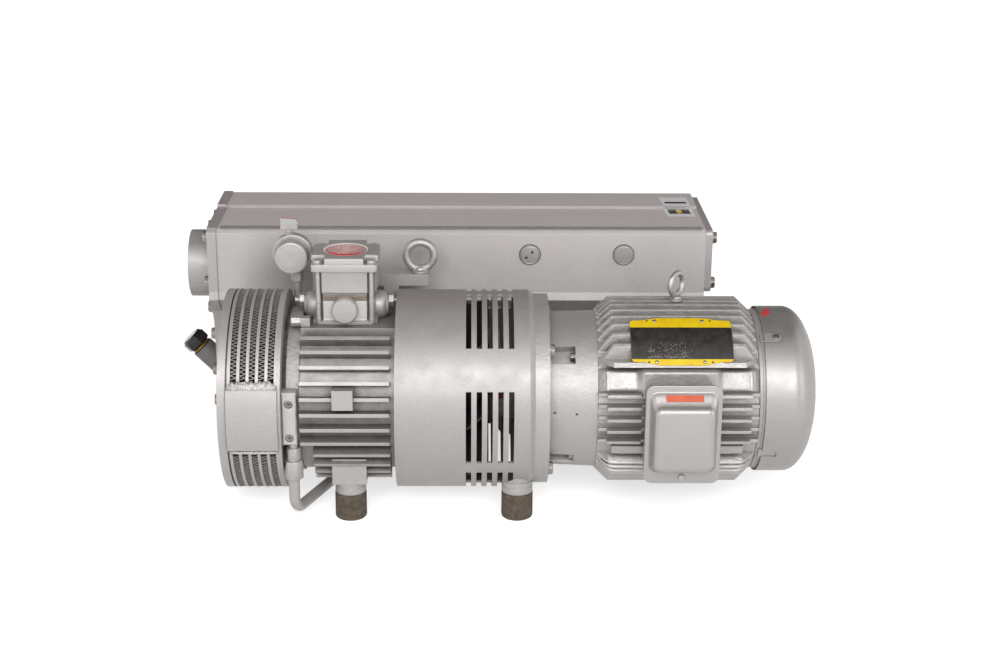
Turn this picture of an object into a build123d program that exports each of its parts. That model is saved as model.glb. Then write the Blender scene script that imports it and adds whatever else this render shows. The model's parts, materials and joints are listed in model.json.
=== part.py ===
from build123d import *
import os
from math import cos, degrees, pi, radians, sin, sqrt

# Oil-sealed rotary vane vacuum pump, driven by a flanged electric motor, with its oil separator behind.
# Lengths are millimetres. X runs along the pump's shaft, Y away from the front and Z up from the floor.

# The shaft's place: behind the front of the machine and above the floor
axis_y = -74
floor_gap = 23

# Clearances
running = 0.05
clear = 0.3
sink = 2

# Oil cooler, a ring of flat tubes with folded fins between them
intake_x = -375.3
ring_thickness = 11.6
ring_gap = 2.5
cooler_r = 145.7
cooler_inner_r = 118
tube_count = 6
tube_thickness = 4.55
fin_row_width = 8.5
folds_per_turn = 48
fold_count = 42
fold_sheet = 1.0
fold_margin = 3
fold_groove_share = 0.97
back_plate_thickness = 4
back_plate_step = 8
intake_lip = 4
rim_step = 7
header_r = 151
header_top = 21
header_low = -18
header_overhang = 1.5
header_bevel = 6
guard_bar = 3
guard_pitch = 16
guard_bars = 13
guard_rim = 6
guard_inset = 1

# Finned pump cylinder, its eccentric bore and its two end covers
barrel_wall = 6.3
bore_r = 98
rotor_r = 85
cylinder_length = 137.6
fin_height = 17
fin_thickness = 5.5
fin_count = 12
fin_pitch = 9.75
fin_first = 52
fin_inset = 1.2
fin_length = 126.7
notch_start = -18
notch_length = 18
deck_drop = 4
deck_front = 62
deck_back = 100
front_boss = 29.4
front_boss_height = 32
front_boss_rise = 22
front_boss_root = 10
cover_step = 3
cover_bevel = 6
cover_thickness = 24
drive_cover_thickness = 22
bush_r = 30
bush_length = 20
bush_inset = 1
duct_width = 80
duct_low = -60
duct_high = 15
duct_root = 20

# Pump shaft, rotor, vanes and the two fans on it
shaft_r = 22.5
vane_count = 3
vane_thickness = 8
vane_depth = 46
vane_offset = 30
vane_play = 1
cooling_fan_r = 110
cooling_fan_blades = 9
coupling_fan_gap = 7
coupling_fan_blades = 8
coupling_fan_hub = 8
coupling_fan_lean = 40
coupling_fan_sheet = 3
coupling_place = 72
coupling_r = 45
coupling_length = 40
jaw_length = 18
jaw_sweep = 44
jaw_count = 3
star_play = 1
shaft_left = -352
cooling_fan_x = -350
cooling_fan_width = 50
cooling_fan_hub = 12
cooling_fan_lean = 35
cooling_fan_sheet = 3
blade_root = 1

# Slotted hood over the coupling, and the flanged housing that carries the motor
hood_gap = 21
hood_wall = 4
hood_boss_inset = 1
hood_x = -128.5
hood_length = 197.9
hood_shoulder = 7
slot_width = 7.6
slot_pitch = 15.1
slot_count = 5
slot_sweep = 45.4
slot_first_x = -24.4
slot_pair_web = 8.9
slot_pair_angles = (92.6, -31.8, -149.6)
flange_step = 5.8
flange_lip = 12
flange_thickness = 21
bell_r = 112
bell_end_r = 115
bell_length = 68.8
bell_wall = 17
bell_end_wall = 10
bell_bore_r = 60
web_bore_r = 60
web_windows = 6
web_thickness = 6
web_inset = 1
web_window_low = 24
web_rim = 3
web_spoke = 12
pocket_length = 34
pocket_width = 27
pocket_depth = 13
pocket_inset = 3
pocket_angles = (45, 135, 225, 315)

# Motor
frame_length = 228
frame_r = 116
motor_wall = 8
motor_fin_height = 20
motor_fin_thickness = 4.4
motor_fin_ramp = 21
motor_fin_margin = 9
motor_fin_pitch = 15.5
motor_fin_count = 13
side_fin_height = 18
side_fin_pitch = 17.4
side_fin_count = 5
side_fin_inset = 12
side_fin_root = 10
side_stub_height = 6
corner_rib_turn = 41
corner_rib_length = 34
corner_rib_thickness = 6.2
band_height = 11
band_low = 19
band_high = 31
ledge_inset = 20
ledge_length = 47
ledge_low = 20.5
ledge_high = 27
motor_shaft_r = 17.46
ball_bearing_r = 36
ball_bearing_width = 19
ball_inset = 2
hub_wall = 8
hub_length = 10
core_r = 62
core_length = 135
air_gap = 1
shield_thickness = 14
cover_gap = 9.3
fan_cover_step = 5.7
fan_cover_wall = 2
fan_cover_length = 84.7
fan_cover_dome = 44
dome_flat_r = 25
grille_rings = ((30, 48), (54, 72))
grille_count = 6
grille_web = 10
lug_angles = (121.5, 211.5, 301.5, 31.5)
lug_sweep = 9
lug_length = 26
lug_depth = 12
lug_root = 5
notch_sweep = 5.5
motor_fan_gap = 15.7
motor_fan_place = 27.5
motor_fan_width = 34
motor_fan_blades = 7
motor_fan_hub = 10
motor_fan_sheet = 3
motor_shaft_tail = 38
winding_length = 22
winding_inset = 8

# Terminal box on the motor's front
box_width = 98
box_height = 136
box_wall = 4
box_rise = 6
pad_depth = 30
box_depth = 50
lid_width = 106
lid_height = 144
lid_rim = 3
lid_dome = 22
lid_corner = 12
lid_gap = 1
dome_width = 94
dome_height = 114
dome_lift = 5
dome_top_width = 84
dome_top_height = 88
dome_top_lift = 2
dome_top_corner = 10
dome_edge = 5
conduit_r = 17

# Bare data plate on the motor's upper front
plate_place = 45
plate_length = 145
plate_low = 35.5
plate_high = 62.5
plate_thickness = 1
plate_margin = 15

# Inlet housing on the cylinder's deck
inlet_x = -201
inlet_body_height = 43
inlet_neck_height = 35.6
inlet_head_height = 20.4
inlet_flange_side = 94.6
inlet_flange_depth = 98
inlet_flange_corner = 5
inlet_bevel = 1.2
neck_shift = 10
neck_width = 84
neck_depth = 60
neck_corner = 16
inlet_wall = 3.5
inlet_foot = 6
inlet_foot_r = 43
inlet_bolt_x = 75.5
inlet_bolt_y = 79
valve_seat_height = 10
valve_play = 1
passage_r = 14
passage_y = -17
passage_depth = 40
lobe_height = 23
inlet_plug_seat = 55
inlet_plug_height = 3
inlet_plug_step = 1
inlet_pocket = 20
inlet_pocket_depth = 9
inlet_thread_r = 28.3
fitting_across = 17
fitting_length = 7
lug_side = 13
lug_y = -50
seal_length = 20
seal_wall = 2
seal_step = 0.8
seal_recess = 2
lobe_r = 18.5
lobe_reach = 61
tie_rod_r = 4.2
tie_bolt_across = 13
tie_bolt_head = 5
valve_plate_r = 31
valve_plate_thickness = 4
spring_wire = 3
spring_r = 24
spring_bend = 45
spring_runs = 36

# Gas ballast valve with its filter
ballast_x = -282
ballast_valve_height = 43
ballast_across = 17
ballast_seat = 10
ballast_filter_r = 24.5
ballast_collar_r = 28.5
ballast_filter_length = 25
ballast_collar_length = 16
ballast_pipe_x = -276.7
ballast_pipe_r = 6
ballast_y = 50
ballast_pipe_drop = 8
ballast_pipe_length = 38
ballast_bevel = 1.5
ballast_lever_x = -287
lever_width = 25.5
lever_height = 18
lever_rise = 34
lever_foot = 4
lever_bevel_width = 6
lever_bevel_height = 4
lever_post_r = 6
lever_post_rise = 2
lever_sheet = 3

# Lifting bar and eye bolts
bar_left = -232
bar_right = -83.7
bar_front = 70
bar_depth = 30
bar_rise = 22
bar_height = 17.5
eye_ring_r = 20.5
eye_wire = 6
eye_sides = 8
eye_collar = 6
eye_collar_r = 12
bar_leg = 22
motor_eye_turn = 50
lifting_eye_x = -97
motor_eye_x = 277

# Oil separator
tank_x = -406.7
tank_length = 742.7
tank_wall = 5
tank_front = 135
tank_back = 345.6
tank_top = 203.2
tank_shelf = 104.8
sump_front = 178
sump_low = -105
shelf_lip = 12
shelf_lean = 3
slope_top = 67
slope_top_inset = 16
slope_bend = 49
slope_bend_inset = 6
slope_foot = 23
tank_bevel = 6
pad_margin = 3
rear_panel_front = 262
rear_panel_step = 4.5
left_plate_thickness = 14.3
right_plate_thickness = 10
left_plate_margin = 2
right_plate_corner = 8
outlet_r = 52.5
outlet_length = 39.6
outlet_thread_r = 28.3
outlet_step = 2
outlet_y = 240
outlet_z = 120
filter_r = 36
filter_length = 400
filter_core_r = 24
filter_y = (190, 290)
filter_z = 152
partition_low = 30
plug_from_end = (267.5, 125)
plug_z = 165
plug_r = 15.2
plug_height = 3.5
plug_hole_r = 2
plug_hole_depth = 2

# Oil filler
filler_y = 230
filler_tilt = 45
filler_r = 18
filler_mouth_r = 13
filler_neck_end = 41
filler_root = 30
filler_foot_z = -46.3
filler_seal_height = 2
filler_seal_inset = 1
thread_depth = 1.2
cap_across = 36
cap_height = 24
cap_shank = 14

# Oil manifold and steel oil pipe at the front
manifold_width = 21
manifold_depth = 18
manifold_bevel = 2
manifold_top = 40
manifold_low = -39
manifold_land = 8
land_depth = 30
manifold_screw_z = (22.8, -27.9)
manifold_screw_r = 6
screw_recess = 2
socket_depth = 5
oil_pipe_r = 7.8
pipe_left = -273
pipe_right = -167.6
pipe_rear_y = 137
pipe_end_z = -80
oil_pipe_low = -143
oil_pipe_bend = 22
oil_pipe_wall = 2
elbow_neck = 6
elbow_neck_step = 1
elbow_across = 19
elbow_length = 18
nut_collar = 1
nut_collar_step = 2
nut_across = 24
nut_length = 28
rear_nut_across = 25
rear_nut_length = 16

# Feet
foot_r = 23.3
foot_height = 40
stud_height = 18
stud_r = 22.6
foot_relief = 1
foot_boss_height = 40
foot_boss_margin = 2
foot_x = (-195.3, 46.4)
foot_front_y = -82
foot_rear_y = 250
foot_hole_r = 5
foot_hole_depth = 15

# Oil sight glass and drain plug
sight_y = 290
sight_z = -10
sight_r = 20
sight_height = 6
sight_collar_step = 2
sight_collar_height = 3
sight_window_step = 6
sight_window_depth = 2
drain_y = 294
drain_z = -80
drain_across = 22
drain_washer = 3
drain_head = 9

# Hex bolts
bolt_inset = 12
bolt_top_inset = 14
bolt_shelf_rise = 13
bolt_low_rise = 13
left_bolt_count = 4
right_bolt_count = 3
low_bolt_count = 3
sump_bolts = ((-8, 70), (10, 20), (10, -40))
flange_bolt_r = 127
pocket_bolt_r = 106
pocket_bolt_across = 11
bolt_across = 17
bolt_head = 7
ring_bolt_count = 4
ring_bolt_turn = 45

# Radii and heights that follow from the sizes
bore_drop = bore_r - rotor_r - clear
barrel_r = bore_r + bore_drop + barrel_wall
fin_tip_r = barrel_r + fin_height
frame_bore_r = frame_r - motor_wall
motor_fin_r = frame_r + motor_fin_height
side_fin_r = frame_r + side_fin_height
side_stub_r = frame_r + side_stub_height
corner_rib_y = frame_r * cos(radians(corner_rib_turn)) + corner_rib_length / 2
corner_rib_z = frame_r * sin(radians(corner_rib_turn))
band_r = frame_r + band_height
box_pad = frame_r + box_rise
fan_cover_r = frame_r + fan_cover_step
motor_fan_r = fan_cover_r - fan_cover_wall - motor_fan_gap
cover_r = barrel_r + cover_step
hood_r = cover_r + hood_gap + hood_wall
flange_r = hood_r - flange_step
coupling_fan_r = hood_r - hood_wall - coupling_fan_gap
axis_z = hood_r + floor_gap
deck_height = barrel_r - deck_drop
inlet_parting = deck_height + inlet_body_height
inlet_flange_low = inlet_parting + inlet_neck_height
inlet_flange_high = inlet_flange_low + inlet_head_height
valve_seat = inlet_parting + valve_seat_height
lobe_z = deck_height + lobe_height
ballast_pipe_low = cover_r - ballast_pipe_drop
ballast_hex_low = ballast_pipe_low + ballast_pipe_length
ballast_z = ballast_hex_low + ballast_valve_height
lever_low = ballast_z + lever_rise
bar_low = deck_height + bar_rise
manifold_seat = cover_r - manifold_land
manifold_front = manifold_seat + manifold_depth
oil_pipe_y = -(manifold_seat + manifold_front) / 2
pipe_start = manifold_low - elbow_neck - elbow_length - nut_collar - nut_length
intake_r = cooler_inner_r - intake_lip
foot_plane = foot_height + stud_height - axis_z

# Stations that follow from the sizes
core_x = intake_x + ring_thickness + ring_gap
tube_pitch = tube_thickness + fin_row_width
core_end = core_x + tube_count * tube_thickness + (tube_count - 1) * fin_row_width
fan_cover_face = core_end + back_plate_thickness
cylinder_x = fan_cover_face + cover_thickness
cylinder_end = cylinder_x + cylinder_length
drive_cover_end = cylinder_end + drive_cover_thickness
flange_x = hood_x + hood_length
bell_x = flange_x + flange_thickness
motor_x = bell_x + bell_length
motor_end = motor_x + frame_length
fan_cover_x = motor_end + cover_gap
motor_fan_x = fan_cover_x + motor_fan_place
motor_shaft_end = motor_fan_x + motor_shaft_tail
box_x = (motor_x + motor_end) / 2
plate_x = motor_x + plate_place
tank_end = tank_x + tank_length
plug_x = [tank_end - distance for distance in plug_from_end]
pump_coupling_x = drive_cover_end + coupling_place
motor_coupling_x = pump_coupling_x + coupling_length + jaw_length
shaft_right = pump_coupling_x + coupling_length

pump_axis = Axis((0, axis_y, axis_z), (1, 0, 0))
os.makedirs("parts", exist_ok=True)


def station(x, y=0, z=0):
    """The plane across the shaft at x, with Y to its right and Z up, seen from the left."""
    return Plane(origin=(x, axis_y + y, axis_z + z), x_dir=(0, 1, 0), z_dir=(1, 0, 0))


def radial(turn, x=0):
    """The plane through the shaft's axis that is turned up from the front by an angle in degrees."""
    slope = radians(turn)
    return Plane(origin=(x, axis_y, axis_z), x_dir=(1, 0, 0), z_dir=(0, -sin(slope), -cos(slope)))


def facing(y, x=0, z=0):
    """The upright plane at y behind the shaft's axis, facing the front."""
    return Plane(origin=(x, axis_y + y, axis_z + z), x_dir=(1, 0, 0), z_dir=(0, -1, 0))


def level(z, x=0, y=0):
    """The level plane at z above the shaft's axis."""
    return Plane.XY.offset(axis_z + z).shift_origin((x, axis_y + y, axis_z + z))


def spread(first, last, count):
    """Places at equal steps from the first to the last."""
    return [first + (last - first) * index / (count - 1) for index in range(count)]


def ring_sector(inner, outer, start, sweep, mode=Mode.ADD):
    """A piece of a flat ring about the sketch's centre."""
    with BuildLine() as outline:
        CenterArc((0, 0), outer, start, sweep)
        CenterArc((0, 0), inner, start, sweep)
        for turn in (start, start + sweep):
            Line((inner * cos(radians(turn)), inner * sin(radians(turn))),
                 (outer * cos(radians(turn)), outer * sin(radians(turn))))
    make_face(outline.edges(), mode=mode)


# Pump cylinder: a barrel with an eccentric bore, fins on both sides and the inlet's deck on top
with BuildPart() as cylinder:
    with BuildSketch(station(cylinder_x)):
        Circle(barrel_r)
    extrude(amount=cylinder_length)
    with BuildSketch(station(cylinder_x + fin_inset)):
        fin_depth = fin_height + sink
        for start in (180 - fin_first, fin_first - (fin_count - 1) * fin_pitch):
            with PolarLocations(fin_tip_r - fin_depth / 2, fin_count, start, fin_pitch * fin_count):
                Rectangle(fin_depth, fin_thickness)
    extrude(amount=fin_length)
    with BuildSketch(station(cylinder_x)):
        ring_sector(barrel_r, fin_tip_r + sink, 180 - notch_start, 180 + 2 * notch_start)
    extrude(amount=notch_length, mode=Mode.SUBTRACT)
    with BuildSketch(level(barrel_r / 2, (cylinder_x + hood_x - clear) / 2)):
        with Locations((0, (deck_back - deck_front) / 2)):
            Rectangle(hood_x - clear - cylinder_x, deck_front + deck_back)
    extrude(amount=deck_height - barrel_r / 2)
    with BuildSketch(level(deck_height, cylinder_x + cylinder_length / 2)):
        Rectangle(cylinder_length, barrel_r)
    extrude(amount=deck_drop + sink, mode=Mode.SUBTRACT)
    with BuildSketch(facing(front_boss_root - barrel_r, inlet_x, front_boss_height)):
        Rectangle(front_boss, front_boss)
    extrude(amount=front_boss_rise + front_boss_root)
    with BuildSketch(facing(sump_front, inlet_x, (duct_low + duct_high) / 2)):
        Rectangle(duct_width, duct_high - duct_low)
    extrude(amount=sump_front - barrel_r + duct_root)
    with BuildSketch(level(foot_plane, foot_x[0], foot_front_y)):
        Circle(foot_r + foot_relief)
    extrude(amount=-foot_height, mode=Mode.SUBTRACT)
    with BuildSketch(level(foot_plane, foot_x[0], foot_front_y)):
        Rectangle(2 * stud_r + 2 * foot_boss_margin, 2 * stud_r + foot_boss_margin)
    extrude(amount=foot_boss_height)
    with BuildSketch(station(cylinder_x, 0, -bore_drop)):
        Circle(bore_r)
    extrude(amount=cylinder_length, mode=Mode.SUBTRACT)
    with BuildSketch(level(deck_height, inlet_x, passage_y)):
        Circle(passage_r)
    extrude(amount=-passage_depth, mode=Mode.SUBTRACT)
cylinder.part.label = "cylinder"
export_step(cylinder.part, "parts/cylinder.step")

# End cover on the cooler's side, with the land for the oil manifold
with BuildPart() as cover_fan_side:
    with BuildSketch(radial(90)):
        with BuildLine():
            Polyline((fan_cover_face, bush_r), (fan_cover_face, cover_r - cover_bevel),
                     (fan_cover_face + cover_bevel, cover_r), (cylinder_x, cover_r),
                     (cylinder_x, bush_r), close=True)
        make_face()
    revolve(axis=pump_axis)
    with BuildSketch(facing(-manifold_seat, fan_cover_face + manifold_width / 2)):
        with Locations((0, (manifold_top + manifold_low) / 2)):
            Rectangle(manifold_width, manifold_top - manifold_low)
    extrude(amount=-land_depth)
    land_middle = (manifold_top + manifold_low) / 2
    with BuildSketch(facing(-manifold_seat, fan_cover_face + cover_thickness / 2, land_middle)):
        Rectangle(cover_thickness, manifold_top - manifold_low + 2 * clear)
    extrude(amount=cover_r - manifold_seat, mode=Mode.SUBTRACT)
    with BuildSketch(station(fan_cover_face)):
        Circle(bush_r)
    extrude(amount=cover_thickness, mode=Mode.SUBTRACT)
cover_fan_side.part.label = "cover_fan_side"
export_step(cover_fan_side.part, "parts/cover_fan_side.step")

# End cover on the drive side, inside the hood
with BuildPart() as cover_drive_side:
    with BuildSketch(station(cylinder_end)):
        Circle(cover_r)
        Circle(bush_r, mode=Mode.SUBTRACT)
    extrude(amount=drive_cover_thickness)
cover_drive_side.part.label = "cover_drive_side"
export_step(cover_drive_side.part, "parts/cover_drive_side.step")

# Bearings: two plain bushes for the pump, two ball bearings for the motor
with BuildPart() as bearings:
    for bush_x in (fan_cover_face + bush_inset, cylinder_end + bush_inset):
        with BuildSketch(station(bush_x)):
            Circle(bush_r)
            Circle(shaft_r + running, mode=Mode.SUBTRACT)
        extrude(amount=bush_length)
    for ball_x in (motor_x + ball_inset, motor_end - ball_inset - ball_bearing_width):
        with BuildSketch(station(ball_x)):
            Circle(ball_bearing_r)
            Circle(motor_shaft_r + running, mode=Mode.SUBTRACT)
        extrude(amount=ball_bearing_width)
bearings.part.label = "bearings"
export_step(bearings.part, "parts/bearings.step")

# Cooler tubes: flat open rings whose ends meet the header
with BuildPart() as cooler_tubes:
    for index in range(tube_count):
        with BuildSketch(station(core_x + index * tube_pitch)):
            ring_sector(cooler_inner_r, cooler_r, 180 - header_low, 360 - header_top + header_low)
        extrude(amount=tube_thickness)
cooler_tubes.part.label = "cooler_tubes"
export_step(cooler_tubes.part, "parts/cooler_tubes.step")

# Cooler fins: a row is a ring cut from both sides into a zigzag of thin walls, and one row fills each gap
fold_pitch = 360 / folds_per_turn
fold_start = 180 - header_low + fold_margin
fold_middle_r = (cooler_inner_r + cooler_r) / 2
fold_half = pi * fold_middle_r / folds_per_turn
with BuildPart() as fold_groove:
    with BuildSketch(Plane.YZ):
        with BuildLine():
            Polyline((-fold_groove_share * fold_half, 0), (fold_groove_share * fold_half, 0),
                     (0, fin_row_width - fold_sheet), close=True)
        make_face()
    extrude(amount=cooler_r - cooler_inner_r, both=True)
with BuildPart() as fin_row:
    with BuildSketch(station(core_x + tube_thickness)):
        RegularPolygon(radius=cooler_r - clear, side_count=folds_per_turn, rotation=fold_start)
        RegularPolygon(radius=cooler_inner_r + clear, side_count=folds_per_turn, rotation=fold_start,
                       mode=Mode.SUBTRACT)
        ring_sector(cooler_inner_r / 2, cooler_r + clear, fold_start, fold_count * fold_pitch, Mode.INTERSECT)
    extrude(amount=fin_row_width)
    for groove_x, share, turn in ((0, 0.25, 0), (fin_row_width, 0.75, 180)):
        with Locations(station(core_x + tube_thickness + groove_x)):
            groove_start = fold_start + share * fold_pitch
            with PolarLocations(fold_middle_r, fold_count, groove_start, fold_count * fold_pitch):
                add(fold_groove.part, rotation=(turn, 0, 0), mode=Mode.SUBTRACT)
with BuildPart() as cooler_fins:
    with Locations(*[(index * tube_pitch, 0, 0) for index in range(tube_count - 1)]):
        add(fin_row.part)
cooler_fins.part.label = "cooler_fins"
export_step(cooler_fins.part, "parts/cooler_fins.step")

# Cooler header: the welded oil box that closes the tubes' ends at the front
with BuildPart() as cooler_header:
    with BuildSketch(station(core_x - header_overhang)):
        ring_sector(cooler_inner_r, header_r, 180 - header_top, header_top - header_low)
    extrude(amount=core_end - core_x + header_overhang)
    chamfer(cooler_header.edges().filter_by(Axis.X).sort_by(Axis.Y)[:2], length=header_bevel)
cooler_header.part.label = "cooler_header"
export_step(cooler_header.part, "parts/cooler_header.step")

# Intake ring at the left of the cooler, with a rim that meets the first tube
with BuildPart() as cooler_ring:
    with BuildSketch(station(intake_x)):
        Circle(cooler_r)
        Circle(intake_r, mode=Mode.SUBTRACT)
    extrude(amount=ring_thickness)
    with BuildSketch(station(intake_x + ring_thickness)):
        ring_sector(intake_r, cooler_r - rim_step, 180 - header_low, 360 - header_top + header_low)
    extrude(amount=ring_gap)
cooler_ring.part.label = "cooler_ring"
export_step(cooler_ring.part, "parts/cooler_ring.step")

# Back plate between the cooler and the end cover
with BuildPart() as cooler_back_plate:
    with BuildSketch(station(core_end)):
        Circle(cooler_r)
        Circle(bush_r + back_plate_step, mode=Mode.SUBTRACT)
    extrude(amount=back_plate_thickness)
cooler_back_plate.part.label = "cooler_back_plate"
export_step(cooler_back_plate.part, "parts/cooler_back_plate.step")

# Intake guard: level bars in a round frame
guard_r = intake_r - clear
with BuildPart() as fan_guard:
    with BuildSketch(station(intake_x + guard_inset)):
        with GridLocations(0, guard_pitch, 1, guard_bars):
            Rectangle(2 * guard_r, guard_bar)
        Rectangle(guard_bar * 2, 2 * guard_r)
        Circle(guard_r, mode=Mode.INTERSECT)
        for start in (0, 180):
            ring_sector(guard_r - guard_rim, guard_r, start, 180)
    extrude(amount=guard_bar)
fan_guard.part.label = "fan_guard"
export_step(fan_guard.part, "parts/fan_guard.step")

# Slotted hood with an inner web that bolts to the drive-side end cover, and a boss for one foot
slot_starts = [centre + side for centre in slot_pair_angles
               for side in (slot_pair_web / 2, -slot_pair_web / 2 - slot_sweep)]
web_pitch = 360 / web_windows
with BuildPart() as fan_hood:
    with BuildSketch(level(foot_plane, foot_x[1], foot_front_y)):
        Circle(stud_r - hood_boss_inset)
    extrude(amount=foot_boss_height)
    with BuildSketch(station(hood_x)):
        Circle(hood_r - hood_wall)
    extrude(amount=hood_length, mode=Mode.SUBTRACT)
    with BuildSketch(radial(90)):
        with BuildLine():
            Polyline((hood_x, hood_r - hood_wall), (hood_x, hood_r), (flange_x - hood_shoulder, hood_r),
                     (flange_x, flange_r), (flange_x, flange_r - flange_lip),
                     (flange_x - hood_shoulder, flange_r - flange_lip),
                     (flange_x - 2 * hood_shoulder, hood_r - hood_wall), close=True)
        make_face()
    revolve(axis=pump_axis)
    with BuildSketch(station(drive_cover_end)):
        Circle(hood_r - web_inset)
        Circle(web_bore_r, mode=Mode.SUBTRACT)
        for index in range(web_windows):
            ring_sector(cover_r - web_window_low, hood_r - hood_wall - web_rim,
                        web_pitch * index + web_spoke / 2, web_pitch - web_spoke, Mode.SUBTRACT)
    extrude(amount=web_thickness)
    with BuildSketch(*[radial(start) for start in slot_starts]):
        with Locations((slot_first_x + slot_pitch * (slot_count - 1) / 2, hood_r - hood_wall / 2)):
            with GridLocations(slot_pitch, 0, slot_count, 1):
                Rectangle(slot_width, hood_wall + sink)
    revolve(axis=Axis(pump_axis.position, (-1, 0, 0)), revolution_arc=slot_sweep, mode=Mode.SUBTRACT)
    with BuildSketch(level(foot_plane, foot_x[1], foot_front_y)):
        Circle(foot_r + foot_relief)
    extrude(amount=-foot_height, mode=Mode.SUBTRACT)
fan_hood.part.label = "fan_hood"
export_step(fan_hood.part, "parts/fan_hood.step")

# Bell housing between the hood and the motor, with four pockets for the bolts
with BuildPart() as bell_housing:
    with BuildSketch(radial(90)):
        with BuildLine():
            Polyline((flange_x, bell_r - bell_wall), (flange_x, flange_r), (bell_x, flange_r),
                     (bell_x, bell_r), (motor_x, bell_end_r), (motor_x, bell_bore_r),
                     (motor_x - bell_end_wall, bell_bore_r),
                     (motor_x - bell_end_wall, bell_r - bell_wall), close=True)
        make_face()
    revolve(axis=pump_axis)
    with BuildSketch(station(bell_x + pocket_inset)):
        pocket_sweep = degrees(pocket_width / bell_r)
        for middle in pocket_angles:
            ring_sector(bell_r - pocket_depth, bell_end_r + sink, middle - pocket_sweep / 2, pocket_sweep)
    extrude(amount=pocket_length, mode=Mode.SUBTRACT)
bell_housing.part.label = "bell_housing"
export_step(bell_housing.part, "parts/bell_housing.step")

# Motor frame: a barrel with upright fins above and below, level fins at the sides and the terminal box's pad
with BuildPart() as motor_frame:
    with BuildSketch(station(motor_x)):
        with GridLocations(motor_fin_pitch, 0, motor_fin_count, 1):
            Rectangle(motor_fin_thickness, 2 * motor_fin_r)
        Circle(frame_r)
        for start in (180 - band_high, band_low):
            ring_sector(frame_r - sink, band_r, start, band_high - band_low)
        for side in (-1, 1):
            with Locations((side * corner_rib_y, corner_rib_z)):
                Rectangle(corner_rib_length, corner_rib_thickness)
        Circle(motor_fin_r, mode=Mode.INTERSECT)
    extrude(amount=frame_length)
    with BuildSketch(radial(90)):
        for end, ramp in ((motor_x, motor_fin_ramp), (motor_end, -motor_fin_ramp)):
            with BuildLine():
                Polyline((end, frame_r), (end + ramp, motor_fin_r),
                         (end + ramp, motor_fin_r + motor_fin_margin),
                         (end, motor_fin_r + motor_fin_margin), close=True)
            make_face()
    revolve(axis=pump_axis, mode=Mode.SUBTRACT)
    with BuildSketch(station(motor_x + side_fin_inset)):
        for side in (-1, 1):
            with Locations((side * (side_fin_r + frame_r - side_fin_root) / 2, 0)):
                with GridLocations(0, side_fin_pitch, 1, side_fin_count):
                    Rectangle(side_fin_r - frame_r + side_fin_root, motor_fin_thickness)
        Circle(side_fin_r, mode=Mode.INTERSECT)
    extrude(amount=frame_length - 2 * side_fin_inset)
    with BuildSketch(station(motor_x)):
        for side in (-1, 1):
            with Locations((side * (side_stub_r + frame_r - side_fin_root) / 2, 0)):
                with GridLocations(0, side_fin_pitch, 1, side_fin_count):
                    Rectangle(side_stub_r - frame_r + side_fin_root, motor_fin_thickness)
    extrude(amount=frame_length)
    with BuildSketch(station(plate_x + plate_margin)):
        ring_sector(frame_r - sink, motor_fin_r, 180 - plate_high, plate_high - plate_low)
    extrude(amount=plate_length - 2 * plate_margin)
    for ledge_x in (motor_x + ledge_inset, motor_end - ledge_inset - ledge_length):
        with BuildSketch(station(ledge_x)):
            for start in (180 + ledge_low, 360 - ledge_high):
                ring_sector(frame_r - sink, band_r, start, ledge_high - ledge_low)
        extrude(amount=ledge_length)
    with BuildSketch(facing(-box_pad, box_x)):
        Rectangle(box_width, box_height)
    extrude(amount=-pad_depth)
    with BuildSketch(facing(-box_pad, box_x)):
        Rectangle(lid_width + 2 * lid_gap, lid_height + 2 * lid_gap)
    extrude(amount=pad_depth, mode=Mode.SUBTRACT)
    with BuildSketch(station(motor_x)):
        Circle(frame_bore_r)
    extrude(amount=frame_length, mode=Mode.SUBTRACT)
motor_frame.part.label = "motor_frame"
export_step(motor_frame.part, "parts/motor_frame.step")

# Motor end shields, with the fan end's four lugs that carry the fan cover
lug_r = fan_cover_r - fan_cover_wall - running
with BuildPart() as motor_end_shields:
    for shield_x in (motor_x, motor_end - shield_thickness):
        with BuildSketch(station(shield_x)):
            Circle(frame_bore_r - running)
        extrude(amount=shield_thickness)
    for hub_x in (motor_x + shield_thickness, motor_end - shield_thickness - hub_length):
        with BuildSketch(station(hub_x)):
            Circle(ball_bearing_r + hub_wall)
        extrude(amount=hub_length)
    with BuildSketch(station(motor_end)):
        for middle in lug_angles:
            ring_sector(frame_bore_r - lug_depth, frame_bore_r - running, middle - lug_sweep / 2, lug_sweep)
    extrude(amount=cover_gap)
    with BuildSketch(station(fan_cover_x - lug_root)):
        for middle in lug_angles:
            ring_sector(frame_bore_r - lug_depth, lug_r, middle - lug_sweep / 2, lug_sweep)
    extrude(amount=lug_length + lug_root)
    with BuildSketch(station(motor_x)):
        Circle(ball_bearing_r)
    extrude(amount=shield_thickness + hub_length, mode=Mode.SUBTRACT)
    with BuildSketch(station(motor_end - shield_thickness - hub_length)):
        Circle(ball_bearing_r)
    extrude(amount=shield_thickness + hub_length, mode=Mode.SUBTRACT)
motor_end_shields.part.label = "motor_end_shields"
export_step(motor_end_shields.part, "parts/motor_end_shields.step")

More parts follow.
